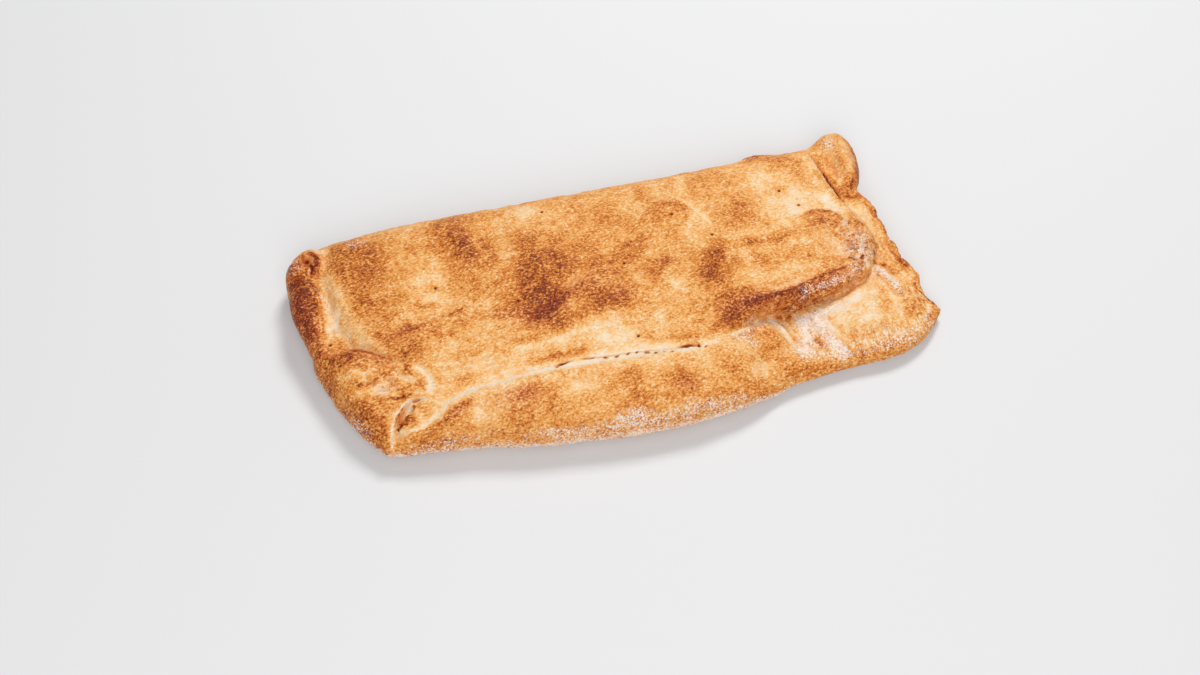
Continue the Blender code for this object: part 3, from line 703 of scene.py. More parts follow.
# The slow unevenness and the fine grain of the whole skin
relief += (
    0.42 * crags(points, 17.0, 4, 3) + 0.24 * crags(points, 6.0, 5, 3) + 0.12 * crags(points, 2.6, 6, 2)
)

# Small blisters on the skin that faces up
BLISTERS = 230
BLISTER_RADII = (1.0, 3.2)
BLISTER_HEIGHTS = (0.12, 0.38)
OPEN = 0.6                # only skin that faces up at least this much has them
draw = np.random.default_rng(7)
upper = np.nonzero(normals(points)[:, 2] > OPEN)[0]
for centre in points[draw.choice(upper, BLISTERS, replace=False)]:
    size = draw.uniform(*BLISTER_RADII)
    close = np.nonzero(np.abs(points[:, :2] - centre[:2]).max(1) < 3 * size)[0]
    radii = (size, size * draw.uniform(0.6, 1.0))
    dome = bell(points[close, 0], points[close, 1], centre, radii, draw.uniform(0, 180))
    relief[close] += draw.uniform(*BLISTER_HEIGHTS) * dome

facing = normals(points)
calm = np.where(underside, 0.0, step(points[:, 2], 0.3, 3.5))
points = points + facing * (relief * calm)[:, None]
points[:, 2] = np.maximum(points[:, 2], np.where(underside, 0.0, TOUCHING))
facing = normals(points)
skin.shade_smooth()


# ---- Browning ------------------------------------------------------------------------------------
# The oven browns what stands proud: the crests, the lip and the rolled rim are darkest, the open skin is
# golden, and what was folded in or shaded stays the cream colour of the dough.

# Strength, place and radii of each darker patch, and its turn where it is turned
BROWNED = [
    # left end and rolled rim
    (0.82, (-143, 21), (5.6, 14), 4), (0.36, (-140.6, 5), (4.6, 9), 8), (0.5, (-143, 33.6), (6, 2.6)),
    (0.75, (-138, 23), (3.4, 10), 6), (0.2, (-130, 3), (2.6, 3)), (0.3, (-122, 33), (5, 8)),
    (0.1, (-130, 45), (5, 4)), (0.35, (-143, 43), (4, 8)), (0.5, (-132.4, 43), (1.5, 6), 10),
    (0.5, (-136, 44), (2.4, 5), 10), (0.2, (-139, 45), (3, 5)), (0.25, (-127, 38), (3, 6)),
    (0.25, (-122, 45), (5, 5)), (0.2, (-121, 28), (5, 5)), (0.12, (-131, 14), (2.4, 10), -6),
    (0.4, (-140, -8), (4, 6)), (0.35, (-139, -20), (4, 12), -15), (0.4, (-130, -40), (4, 14), 35),
    (0.4, (-121, -50), (6, 7)), (0.25, (-116, -40), (8, 3)), (0.62, (-129, -12), (6, 4), -20),
    (0.4, (-121, -13), (6, 3), -35), (0.4, (-112, -20), (4, 2), -40), (0.3, (-133, -16), (6, 8)),
    (0.4, (-114, -26), (4, 2.6)), (0.5, (-103, -26), (2.5, 3)), (0.45, (-98, -33), (3, 3.4)),
    (0.4, (-106, -35), (4, 2)), (0.4, (-107, -39), (7, 1.4)), (0.15, (-127, -27), (5, 3)),
    (0.4, (-104.6, -47), (3, 2.6)), (0.55, (-107.4, -49.6), (2.4, 3)),
    (0.25, (-110.4, -46.4), (1.6, 3), -30), (0.1, (-120, -28), (12, 12)), (0.4, (-130, -1.6), (5, 3), -10),
    (0.32, (-124.6, -4.4), (5, 2.6), -40), (0.2, (-128, -30), (5, 3), 10), (0.1, (-131, -23.6), (3, 3)),
    (0.35, (-117, -25.4), (2, 1.6)), (0.35, (-110.4, -24), (2.6, 1.4)), (0.4, (-124, -29.4), (3, 1.3), -20),
    (0.3, (-98.6, -47.4), (2, 2)), (0.35, (-102, -44.6), (2.6, 1.5), -20),
    # top sheet, left part
    (0.36, (-112, 46), (13, 9)), (0.5, (-107, 37), (9, 8)), (0.42, (-112, 26), (8, 10)),
    (0.3, (-118, 12), (6, 14)), (0.2, (-108, 6), (12, 6)), (0.45, (-103, -18), (8, 4), 15),
    (0.45, (-98, -16), (5, 5)), (0.4, (-100, -8), (12, 3), 5), (0.3, (-108, -11), (7, 6)),
    (0.3, (-85, -8), (8, 3)), (0.45, (-79.6, -13.4), (2, 2)), (0.35, (-76, -3), (7, 3), 10),
    (0.3, (-66, -8), (9, 3)), (0.3, (-89, -14), (5, 2)), (0.48, (-65.6, 33), (5.6, 11), 10),
    (0.3, (-69, 43), (12, 9)), (0.25, (-76, 36), (8, 10)), (0.25, (-66, 52), (9, 6)),
    (0.35, (-56, 22), (6, 9)), (0.3, (-70, 18), (8, 6)), (0.1, (-90, 40), (8, 6)),
    (0.1, (-72, -26), (10, 2.5)), (0.3, (-50, -25), (8, 2.4)),
    # middle
    (0.55, (-38, 5), (8, 15)), (0.6, (-34, -5), (9, 5), 25), (0.6, (-38, -13), (9, 3.4), 15),
    (0.5, (-32, -18), (13, 4.5)), (0.45, (-48, -4), (9, 9)), (0.3, (-37, 15), (7, 8)),
    (0.35, (-37, 27), (6, 6)), (0.4, (-27, 17), (9, 6)), (0.4, (-20, 11), (11, 6)), (0.35, (-8, 7), (11, 5)),
    (0.42, (-13, -5), (7, 6)), (0.42, (-9, -13), (9, 5)), (0.35, (-1, -12), (6, 5)),
    (0.35, (5, -18), (6, 7)), (0.35, (-31, 32), (4, 2), -30), (0.3, (-54, 28), (5, 7)),
    (0.2, (-8, 36), (9, 8)), (0.3, (6, 30), (9, 6)), (0.08, (-1, 42), (8, 5)), (0.45, (7, 12), (7, 3), 30),
    (0.4, (14, 17), (8, 3), 15), (0.35, (23, 4), (6, 3)), (0.4, (26, 2), (4, 2)), (0.35, (17, -3), (2.6, 7)),
    (0.3, (30, 28), (10, 7)), (0.1, (24, 23), (7, 4), 20), (0.42, (45, -8), (8, 11), -35),
    (0.2, (51, 0), (6, 6)), (0.3, (42, -14), (7, 5)), (0.25, (24, 45), (4, 6)), (0.3, (56, 47), (8, 5)),
    (0.25, (36, -28), (8, 5), 10), (0.05, (30, -36), (14, 3)), (0.35, (-34, -35.6), (14, 2)),
    (0.12, (18, -38), (8, 2), -10), (0.08, (-24, -31), (24, 4)), (0.3, (-52, -8), (9, 5)),
    (0.6, (-37, 7), (6, 6)), (0.3, (-26, 7), (5, 5)), (0.25, (-72, 27), (6, 5)),
    (0.4, (-35, -9), (8, 5), 30), (0.25, (-34, -22), (8, 3)), (0.2, (-11, -18), (4, 5)),
    (0.35, (42, -10), (6, 7), -20), (0.4, (-104.6, 2), (4, 4)), (0.2, (-86, 2), (7, 4)),
    (0.35, (13, 12.6), (6, 4), 30), (0.4, (21, 0.6), (6, 4.4)), (0.1, (30, -8), (10, 6)),
    (0.1, (40, 30), (4, 8)), (0.35, (-65, 27), (5, 5)), (0.25, (-7, 24), (4, 4)), (0.2, (14, 22), (5, 3)),
    (0.25, (-18, -7), (4, 4)), (0.3, (53, -43), (3, 4)), (0.2, (51, -30), (4, 4)),
    (0.25, (-104, 25), (6, 6)), (0.4, (-133, 36), (3, 3)), (0.3, (40, 46), (4, 4)),
    (0.3, (119.6, 24), (3, 3)), (0.2, (-20, 22), (5, 5)), (0.15, (21, -10), (8, 6)),
    (0.18, (67, -12), (10, 5)), (0.3, (-97, 12), (12, 4), 5), (0.25, (-75, 11), (13, 4)),
    (0.25, (-60, 5), (9, 4)), (0.45, (-32, -8.6), (9, 3), 32), (0.25, (-20, 28), (5, 5)),
    (0.32, (-11, 17), (10, 6), 10), (0.32, (-1, 1), (8, 3)), (0.42, (11, 9.6), (6, 3.4), 30),
    (0.5, (19, -2.4), (3.6, 4)), (0.25, (27, -6), (5, 4)), (0.25, (30, 17), (5, 3)), (0.2, (38, 3), (5, 5)),
    (0.25, (39, -5), (3, 3)), (0.25, (-9, -17), (4, 3)), (0.15, (-22, -17), (5, 4)),
    # At (73.6, -32): painted shade in the pocket under the lip
    (0.1, (128, -5), (2.4, 5), 10), (0.15, (73.6, -32), (3.6, 2), -15), (0.35, (130, 33), (3, 4)),
    (0.4, (-50, 37), (4, 6)), (0.15, (-30, 57), (8, 2.5)), (0.15, (45, 57), (8, 2)),
    (0.15, (9, -31), (4, 8)), (0.2, (-80, -38), (7, 3), 15),
    # top sheet, right part
    (0.28, (50, -12), (4, 4)), (0.25, (57, -6), (5, 3)), (0.3, (70, -6), (5, 4)), (0.15, (92, 34), (4, 4)),
    (0.12, (78, 30), (5, 6)), (0.15, (84, 56), (4, 3)), (0.1, (125, 10), (3, 4)),
    (0.2, (110, -12), (6, 3), 20), (0.2, (60, 33), (6, 4)), (0.25, (70, 30), (6, 8)),
    (0.38, (66, 22), (8, 8)), (0.12, (60, 17), (7, 4)), (0.3, (85, 7), (4, 3)), (0.32, (76, 4), (12, 3), 8),
    (0.28, (66, 5), (4, 3)), (0.25, (76, -7), (12, 4), 8), (0.3, (66, 44), (5, 4)), (0.3, (50, 38), (4, 4)),
    (0.36, (103, 14), (6.4, 3.2), -6), (0.2, (101, 9), (8, 4)), (0.1, (111, 11), (4, 3), -25),
    (0.12, (111, 4), (4, 3)), (0.25, (92, 34), (7, 5)), (0.15, (95, -7), (10, 5)), (0.08, (103, 49), (8, 7)),
    (0.3, (98, 57), (8, 4)), (0.45, (87, 60), (5, 4)), (0.15, (107, 42), (5, 5)),
    (0.3, (122, 9), (6, 3), -20),
    # lip
    (0.8, (56, -28.4), (11, 4), 4), (0.45, (52, -23), (11, 3.4)), (0.66, (45, -33), (9, 4), 26),
    (0.3, (51, -38), (8, 4), 24), (0.3, (46, -26), (6, 5)), (0.38, (69, -27), (9, 2.2), 4),
    (0.52, (84, -25.6), (10, 3), 14), (0.44, (94, -23), (10, 3.2), 18), (0.3, (106, -19.4), (9, 3), 16),
    (0.2, (98, -26), (14, 2), 12), (0.14, (116, -13), (5, 4), 30), (0.1, (121, -2), (3, 6)),
    # lobe, crust edge and thin end
    # At (123.6, 49): painted shade on the left side of the far lobe
    (0.42, (123.6, 49), (3.6, 8), 5), (0.3, (107, 50), (5, 4)), (0.25, (-44, 40), (6, 5)),
    (0.25, (3, -2), (5, 3)), (0.62, (135.2, 40.4), (2.0, 6), -20), (0.5, (138.8, 52), (2.2, 10)),
    (0.25, (127, 33), (5, 5)), (0.6, (128, 27.4), (5, 1.6), -10), (0.28, (136.4, 16), (2, 10)),
    (0.12, (136.6, 0), (2.4, 10), 5), (0.12, (134, -7), (3, 8), 10), (0.3, (139, -14), (3, 8), 20),
    (0.08, (138, -42), (7, 7)), (0.12, (136, -30), (5, 4)), (0.15, (130, -50), (7, 5)),
    (0.08, (142, -34), (3, 6)), (0.28, (123.6, -29), (2.6, 9), 5), (0.1, (110, -50), (9, 5)),
    (0.4, (84.6, -48), (1.8, 5), -8), (0.25, (100, -58), (14, 2.4), 3),
    # front fold
    (0.45, (-84, -50), (7, 3), 20), (0.3, (-91, -55), (8, 2.4), 30), (0.2, (-104, -57), (8, 3)),
    (0.2, (-98, -61), (10, 2.4), -5), (0.28, (-54, -50), (9, 4)), (0.28, (-56, -60), (12, 5)),
    (0.12, (-74, -60), (10, 4), -10), (0.25, (-8, -52), (6, 6)), (0.3, (-6, -64), (7, 4)),
    (0.36, (14, -59), (7, 6)), (0.15, (17, -66), (8, 3)), (0.16, (38, -58), (8, 6)),
    (0.12, (46, -66), (10, 4)), (0.12, (37, -52), (5, 4)), (0.42, (59, -51), (7, 5)),
    (0.2, (62, -43), (5, 4)), (0.25, (75, -62), (16, 2.4), 5), (0.2, (-36, -62), (12, 5)),
    (0.1, (0, -68), (40, 3)), (0.3, (-30, -49), (5, 3)),
]
# The same for what stayed pale
PALE = [
    (0.6, (-88, 12), (13, 10)), (0.6, (-116, -33), (4, 2.6)), (0.5, (-121, -24.5), (6, 3), -15),
    (0.4, (-124, -31), (4, 2)), (0.5, (-75, -55), (6, 6)), (0.5, (-33, -53), (7, 6)),
    (0.8, (90, 18), (10, 9)), (0.6, (92, 31), (10, 6)), (0.5, (86, 45), (11, 9)), (0.6, (96, 28), (8, 6)),
    (0.8, (112, 24), (6, 8), -10), (0.7, (26, -9), (8, 8)), (0.6, (14, -28), (4, 6)),
    (0.5, (45, 20), (6, 8)), (0.6, (-31, 47), (9, 7)), (0.5, (-13, -28), (6, 5)), (0.7, (-8, -33), (12, 5)),
    (0.4, (80, -15), (13, 4), 6), (0.4, (61, 10), (9, 3)), (0.6, (-14, -22), (12, 3)),
    (0.4, (-40, -28), (20, 3)), (0.7, (-129, 18), (4.4, 16), -6), (0.5, (-133.4, 8), (2.6, 8), 10),
    (0.3, (58, -17), (4, 4)), (0.4, (-45, 40), (6, 8)), (0.5, (113, 46), (3, 14), 5),
    (0.95, (107, -32), (13, 6.5), 14), (0.5, (98, -42), (12, 6)), (0.4, (-58, 12), (4, 5)),
    (0.6, (128, 14), (5, 9)), (0.5, (140, -22), (5, 4)), (0.4, (-63, -38), (26, 3), 2),
    (0.6, (-60, -45), (18, 3), 2), (0.5, (-14, -46), (24, 3), -4), (0.4, (-58, -28), (9, 3)),
    (0.4, (-91, -53), (5, 3)), (0.4, (60, -12), (9, 4), 10), (0.5, (40, 50), (7, 6)),
    (0.4, (-100, -32), (5, 8)), (0.6, (46, -46), (8, 6)), (0.4, (112, -42), (12, 8)),
    (0.3, (-118, -36), (13, 8)), (0.3, (127, 44), (5, 12)), (0.25, (-88, 50), (9, 5)),
    (0.25, (10, -50), (14, 4)), (0.3, (-75, -22), (10, 3)), (0.3, (136, -36), (6, 6)),
    (0.9, (132, 50), (3.2, 10)), (0.4, (126, 63), (7, 3)), (0.8, (-3, -42.5), (22, 4), -4),
    (0.3, (-70, -58), (6, 4)), (1.0, (-121, -6.4), (4.4, 11), 40), (0.7, (-132, 51.6), (6, 3.4)),
    (0.4, (-118, 3), (4, 6)), (0.4, (-62, -7), (8, 4)), (0.4, (-62, -20), (14, 5), 5),
    (0.8, (117, 15), (5, 4)), (0.5, (137, -10), (3, 8), 10), (0.5, (138.6, -37), (5, 5)),
    (0.3, (-34, -63), (12, 5)), (0.35, (4, -58), (4, 8)), (0.45, (25, -68), (5, 4)),
    (0.3, (-71, -58), (5, 5)), (0.45, (102, -56), (8, 4)), (0.4, (134, -50), (10, 4), 20),
    (0.3, (-8, 33), (6, 8)), (0.3, (-104, 55), (9, 4)), (0.25, (-88, 51), (8, 5)), (0.3, (110, 53), (12, 8)),
    (0.3, (0, 60), (110, 4)), (0.5, (112, -3), (4, 4)), (0.5, (65, -34), (6, 2.4), 8),
    (0.4, (131, 17), (3, 6)), (0.3, (28, 53), (5, 4)), (0.3, (50, 48), (7, 4)), (0.35, (70, 55), (6, 4)),
    (0.3, (54, 17), (6, 4)), (0.35, (131.6, 44), (2.4, 5)), (0.4, (62, 38), (5, 10), 10),
    (0.55, (42, -23), (5, 4)), (0.4, (70, -44), (4, 6)), (0.3, (-20, -68), (5, 4)), (0.3, (64, 38), (4, 6)),
    (0.3, (10, 50), (8, 5)), (0.35, (122, 30), (3, 4)), (0.35, (12, -9), (4, 4)),
    (0.5, (90, -29), (10, 2), 12), (0.3, (134, -14), (2.4, 6), 10), (0.5, (-124, 4), (3, 8), 10),
    (0.5, (-110, -22), (3, 6)), (0.4, (-131, -25), (4, 5)), (0.85, (-103, -45), (5.4, 4.4)),
    (0.5, (-112.6, -54), (4, 3)), (0.4, (2, -28), (4, 8)), (0.4, (-95, -34), (5, 5)),
    (0.5, (66, -41), (4, 7), 15), (0.9, (120, -12), (7, 8), 30), (0.3, (82, 8), (5, 5)),
    (0.3, (73, -57), (5, 4)), (0.4, (127, -52), (10, 4), 10), (0.4, (-101, -5), (5, 3)),
    (0.3, (-110, -28), (3, 3)), (0.3, (50, -50), (7, 4)), (0.4, (-139, 8), (2, 8), 6),
    (0.3, (122, 21), (3, 4)), (0.3, (-120.4, -24), (2, 1.6)), (0.4, (-123, -25.6), (2, 1.6)),
    (0.4, (-128.4, -33.4), (3, 1.6)), (0.4, (-107.4, -48.6), (2.6, 2)), (0.4, (86, -56), (8, 4)),
]
# The torn edge of the flap, over the small puff in the crease
TORN_EDGE = [(-102, -40.8), (-106, -41.6), (-109.6, -43.8), (-113, -47), (-115.2, -52.4), (-117, -61)]
# Creases and folds where the dough kept its cream colour: strength, width, line
CREAM = [
    (1.0, 2.5, [(-104, -55), (-95, -51.5), (-86, -46.5), (-76, -43), (-52, -42), (-28, -41.2), (0, -43.4),
                (18, -45.4), (32, -45), (44, -41)]),
    (0.9, 3.8, [(-36, -40.6), (-20, -40.8), (-6, -42.2), (8, -43.8), (20, -44.8)]),
    (1.0, 0.9, [(42, -41.4), (50, -38.4), (58, -35.2), (66, -33), (73, -32)]),
    (0.12, 3.4, [(-131, 40), (-129, 28), (-127, 14), (-123, 3)]),
    (0.6, 1.6, [(-129.4, 38), (-127.4, 28), (-125.4, 20), (-123.6, 11), (-120.4, 0), (-116.8, -7.6),
                (-111, -14.8), (-108.4, -19.4)]),
    (0.4, 0.7, [(-128, 43), (-129.4, 35)]), (0.5, 0.6, [(-127.6, 22), (-124.6, 14.6)]),
    (0.85, 1.8, [(-100.4, -25.4), (-97.4, -28), (-94.8, -32.4), (-94.2, -37), (-96.6, -41)]),
    (0.95, 0.6, TORN_EDGE), (0.7, 1.3, [(-112, -55), (-105.4, -54.8), (-99, -53.2), (-91.4, -48)]),
    (0.55, 1.3, [(-108.3, -25.4), (-105.7, -29.7), (-100.9, -31.8), (-99.8, -34)]),
    (0.6, 1.0, [(-94, -27.4), (-80, -28.8), (-64, -28)]),
    (0.5, 1.2, [(-56, -27), (-44, -27.6), (-30, -26.4), (-14, -24)]),
    (0.9, 0.9, [(115.4, 58), (116.4, 47), (118, 36), (120, 25)]),
    (0.25, 1.4, [(-113, -31.6), (-108.6, -32.4), (-103.6, -33.4)]),
    (0.4, 1.3, [(-121, -23.4), (-116.4, -24.4), (-113, -23.6)]), (0.25, 1.4, [(-124, -31.6), (-118, -33.4)]),
    (0.5, 0.9, [(36, 41), (44, 33), (49, 25), (52, 17)]),
    (0.4, 0.7, [(-119, 38), (-119.6, 31), (-118.6, 25)]),
    (0.7, 1.0, [(66.4, -31.4), (69.4, -35.4), (71.8, -40.4), (73.6, -47)]),
    (0.5, 1.2, [(121, -18), (125.6, -27), (127, -38), (127, -48)]),
]
# Thin scorched lines on crests and rims
SCORCHED = [
    (0.5, 2.6, [(-23.4, -4.4), (-28, -7.2), (-35, -11.6), (-43, -15.5)]),
    (0.2, 0.8, [(-18, -6), (-24, -9), (-31, -14)]),
    (0.45, 1.1, [(52, -28), (62, -27.6), (74, -26.2), (86, -22.6), (96, -19.2), (106, -16.6), (112, -15.4)]),
    (0.3, 0.7, [(114.6, -18), (118.6, -12), (122, -7), (124.6, -2)]),
    (0.5, 0.5, [(-134, -2), (-129, -6), (-122, -9.5), (-113, -16.5), (-106, -22.5)]),
    (0.35, 0.5, [(-131, -7.4), (-124, -12), (-117, -17), (-110.4, -22.6)]),
    (0.6, 0.8, [(-136, 50.6), (-133, 49), (-132, 45), (-133.6, 41), (-136.6, 37)]),
    (0.35, 0.6, [(-147, 35), (-143, 35.8), (-138, 34.6), (-134, 31)]),
    (0.25, 0.6, [(-134.6, 31), (-134.2, 22), (-135.2, 10), (-136, 0)]),
    (0.4, 0.7, [(-134.6, 43.6), (-135.2, 39.8), (-137, 35.6)]),
    (0.35, 0.5, [(-110, -24), (-107.6, -28), (-110, -31), (-112.6, -29)]),
    (0.4, 0.5, [(-104.6, -25.6), (-102, -29), (-99, -32)]),
    (0.4, 0.6, [(-102, -34), (-99, -36), (-96.6, -39)]),
    (0.35, 0.6, [(-114, -38.6), (-108, -39.4), (-102, -38)]),
    (0.5, 0.5, [(-107.4, -35), (-106.4, -38), (-107, -41)]),
    (0.35, 0.6, [(123, 28.4), (128, 26.6), (133, 21.6), (134.4, 12)]),
    (0.4, 0.6, [(134, 0), (135.6, -8), (138.6, -15), (142, -21)]),
    (0.4, 0.5, [(139, -26), (143.6, -34), (147.4, -42)]), (0.25, 1.0, [(-103, -10), (-96, -7.4), (-88, -7)]),
    (0.25, 0.8, [(-86, -4), (-78, -3), (-70, -1.4)]), (0.25, 0.8, [(-66, -8), (-58, -9.6), (-50, -12)]),
    (0.2, 0.8, [(60, 3), (70, 4), (80, 3), (88, 6)]),
    (0.22, 1.0, [(98, 15.6), (103, 17.6), (108.6, 16.8), (114, 13), (118, 8.6)]),
    (0.3, 0.7, [(100, 12), (105, 12.6), (110, 10.4)]), (0.3, 0.6, [(-97.6, -33), (-99.4, -36), (-97, -38)]),
]
# Where the crust has turned a deep red-brown or mauve
REDDENED = [
    (0.8, (-143, 18), (6, 20), 4), (0.3, (-141, -4), (4, 8)), (0.5, (-143, 42), (5, 8)),
    (0.6, (-134, 45), (5, 7)), (0.6, (-128, -12), (7, 4), -20), (0.5, (-118, -15), (8, 3), -35),
    (0.5, (-110, -20), (5, 2), -40), (0.8, (-28, -8), (10, 3.4), 28), (0.6, (-40, -14), (9, 3), 15),
    (0.4, (-52, -10), (9, 4)), (0.4, (-100, -8), (12, 3), 5), (0.45, (-54, -53), (8, 4)),
    (0.4, (-84, -52), (6, 3), 15), (0.4, (26, 2), (4, 2)), (0.45, (-1, -11), (5, 4)),
    (0.3, (-12, -4), (8, 6)), (0.7, (56, -28), (12, 4), 8), (0.7, (82, -25), (16, 4), 10),
    (0.7, (104, -21), (14, 4), 14), (0.4, (-62, -52), (10, 5)), (0.4, (118, -6), (7, 10), 20),
    (0.4, (108, 10), (8, 6)), (0.4, (135, 50), (4, 12)), (0.3, (-33, 32), (4, 2), -30),
    (0.4, (17, -63), (6, 4)), (0.3, (-66, 32), (4, 9), 10),
]


def patches(table):
    """How much of at least one patch of a table each point has, 0 to 1."""
    left = np.ones(count)
    for strength, place, size, *turn in table:
        left *= 1 - strength * patch(place, size, *turn)
    return 1 - left


ragged = crags(points, 3.2, 33, 2)


def streaks(table):
    """The same for lines in plan, a little ragged."""
    most = np.zeros(count)
    for strength, wide, line in table:
        which, gap, where = near_line(points, line, 2.5 * wide)
        gap = np.abs(gap + 0.4 * wide * bend[which])
        fade = np.clip(np.minimum(where, 1 - where) * 8, 0, 1)
        fade *= strength * np.clip(1.15 + 0.7 * ragged[which], 0.45, 1)
        most[which] = np.maximum(most[which], fade * np.exp(-((gap / wide) ** 2)))
    return most


GOLDEN = 0.30             # browning of the open skin
EVENED = 40               # times the skin is evened out to find what stands proud of it
proud = ((points - spread(points, EVENED)) * facing).sum(-1)
cream = streaks(CREAM)
scorched = streaks(SCORCHED)
browned = GOLDEN + 0.62 * patches(BROWNED) - 0.26 * patches(PALE)
# Crests are browner than hollows, and all of it is uneven
browned += (0.15 + 0.14 * puckered) * np.clip(proud / 0.45, -0.6, 1)
browned += 0.09 * crags(points, 9.0, 11, 4) + (0.05 + 0.16 * puckered) * crags(points, 3.4, 12, 2)
# Painted warm shade where the lip and its corner meet the sheet below: neither white nor floured
LIP_FOOT = [
    (74, -30.6), (82, -29.6), (90, -29), (98, -28), (108, -25.4), (114, -23.4), (117.8, -20.8), (121, -17),
    (124.4, -12.8), (127.8, -8.6), (130.4, -3), (129.6, 5), (127, 12),
]
lip_foot_shade = streaks([(1.0, 1.9, LIP_FOOT)])
browned = np.maximum(browned, 0.27 * lip_foot_shade)
browned = browned * (1 - cream) + (0.12 - 0.1 * step(points[:, 0], -122, -100)) * cream
browned += scorched * (1 - 0.75 * browned)
browned -= 0.13 * patch((104, -36), (17, 9), 12)
# The face of the lip, where it is free of the sheet below: browner, partly its own browning and partly
# painted shade
lip_face_brown_and_shade = streaks([(1.0, 3.2, LIP)]) * step(points[:, 2], 9.5, 12.5)
browned += 0.12 * lip_face_brown_and_shade * step(points[:, 0], 66, 80)
reddened = patches(REDDENED) * (1 - cream)
# Painted shade: colour darkened in the gaps, pinholes, slits and hollows, where shade falls
painted_gap_shade = np.zeros(count)
for depth, place, size, *turn in GAPS:
    painted_gap_shade = np.maximum(painted_gap_shade, 0.9 * patch(place, size, *turn) ** 1.7)
for place in PINHOLES:
    painted_gap_shade = np.maximum(painted_gap_shade, 1.3 * patch(place, PINHOLE))
# Painted shade in slits by the far lobe, along the seam, in the curl and eye, at the torn corner
SLITS = [
    (1.0, 0.5, [(116.6, 57), (118, 48), (119, 41), (120.6, 32), (121.8, 25)]),
    (1.0, 0.8, [(119.8, 35), (120.8, 29.6), (122, 24)]),
    (0.2, 0.32, [(-50, -39.8), (-40, -39.4), (-28, -39), (-10, -40.6), (0, -41.6), (14, -43.6), (31, -45)]),
    (0.7, 0.5, [(-134.4, 30), (-138, 34), (-142.4, 36.2), (-146, 36.4)]),
    (0.8, 0.5, [(-134.6, 43.6), (-135.2, 39.8), (-137.4, 36)]),
    (1.0, 0.9, [(-112.6, -52.6), (-111.4, -50.4), (-109.8, -48.6)]),
    (0.8, 0.6, [(-111, -51.4), (-107.6, -52.4)]), (0.4, 0.4, [(-104, -41.4), (-101.4, -41.2), (-98.6, -42)]),
    (0.6, 0.6, [(122.6, -7.6), (126, -10.4), (129, -13.4), (132.4, -16.4)]),
    (0.9, 0.6, [(114, -5.4), (118, -6.8)]), (0.9, 0.6, [(111.8, -10.4), (115.4, -12.8)]),
    (0.9, 0.6, [(117, -12.6), (119.4, -11)]), (0.8, 0.5, [(116, 1.6), (119.6, 1)]),
    # painted shade under the free lip
    (0.34, 1.5, [(68, -30.8), (73, -31.6), (79, -31.4)]),
]
painted_gap_shade = np.maximum(painted_gap_shade, streaks(SLITS) * step(crags(points, 2.6, 31, 2), -0.45, 0.1))
# Painted shade in the hollows of the skin, where it lies lower than its surroundings
painted_gap_shade = np.maximum(painted_gap_shade, 0.2 * np.clip(-proud / 0.6 - 0.4, 0, 1) * (1 - cream))


# ---- Flour ---------------------------------------------------------------------------------------
# Wheat flour from the table: a dusty, pinkish band low down round the sides, more in the pocket under
# the lip and on the thin end, where it filled the wrinkles and was not brushed off.

FLOURED = [
    (0.6, (-8, -73.6), (26, 2.6), -3), (0.55, (30, -72.4), (16, 2.4), 5), (0.5, (-45, -70), (14, 2), -8),
    (0.5, (-10, -70.4), (8, 2.6)), (0.45, (16, -70.6), (4, 2.4)), (0.4, (-95, -62.4), (24, 1.8), -4),
    (0.45, (-130, -43), (2.4, 12), 35), (0.95, (81.5, -42), (3.6, 10), -6), (0.9, (76.5, -51), (3.4, 4.4)),
    (0.95, (84, -35), (5, 4)), (0.95, (90.6, -50), (3.4, 8), 14), (0.95, (88, -39), (3.4, 6), 14),
    (0.8, (94, -57), (4, 3), 15), (0.5, (96, -33), (9, 3), 10), (0.4, (82, -56), (8, 4)),
    (0.66, (48, -41.6), (6, 3), 20), (0.6, (53, -46), (3, 4), 10), (0.4, (92, -33), (8, 2.6), 5),
    (0.36, (74, -52), (5, 5)), (0.95, (128, -19.6), (2.6, 7.4), 30), (0.7, (130.4, -28), (2.4, 5), 10),
    (0.45, (126, 60), (5, 5)), (0.64, (118, -8), (5, 9), 30), (0.6, (121.6, 0), (4, 5)),
    (0.36, (116, 8), (3, 3)), (0.3, (112, -17), (6, 4), 20), (0.35, (-143, 46), (5, 8)),
    (0.3, (-112, 49), (8, 4)), (0.24, (-113, -31), (8, 5)), (0.34, (128, -53), (12, 4), 12),
    (0.36, (141, -47), (7, 4), 40), (0.4, (116, -58), (18, 2.4), 3), (0.3, (-101, -42), (5, 2)),
    (0.36, (60, -37), (7, 2.4), 18), (0.34, (110, -51), (14, 6), 5),
]
# The same in lines: on the torn and folded edges, and along the face of the lip
FLOUR_LINES = [
    (0.55, 0.6, [(-146.6, 35.4), (-141.6, 35.2), (-137, 31.2), (-133.8, 26.4), (-133, 20.6)]),
    (0.6, 0.8, [(66.4, -31.4), (69.4, -35.4), (71.8, -40.4), (73.4, -46)]),
    (0.4, 0.7, [(50, -36), (58, -33.4), (65, -31.8), (70, -31)]), (0.55, 0.6, TORN_EDGE),
]
# The band round the sides reaches higher where the parcel is full
height = points[:, 2]
full = 1 - step(points[:, 0], 50, 72)
band = 6.0 + 6.5 * full + 3.0 * full * patch((0, -70), (58, 40))
outer = 1 - step(height, 0.4 * band, band + 2.6 * crags(points, 11.0, 21, 2))
lip_dust = streaks([(0.5, 3.0, [(78, -28), (92, -25), (104, -22), (113, -18), (118, -12)])])
floured = np.maximum(patches(FLOURED) * step(height, 0, 1), streaks(FLOUR_LINES))
floured = np.maximum(floured, lip_dust * step(height, 9.5, 11.5)) * (1 - 0.85 * lip_foot_shade)
floured = np.maximum(floured, 0.74 * outer * step(-facing[:, 2], -0.8, -0.2))
floured = np.clip(floured + 0.16 * crags(points, 4.0, 22, 3), 0, 1) * step(floured, 0.02, 0.2)
floured = np.where(underside, 0.6, floured)
browned = np.where(underside, 0.35, browned)

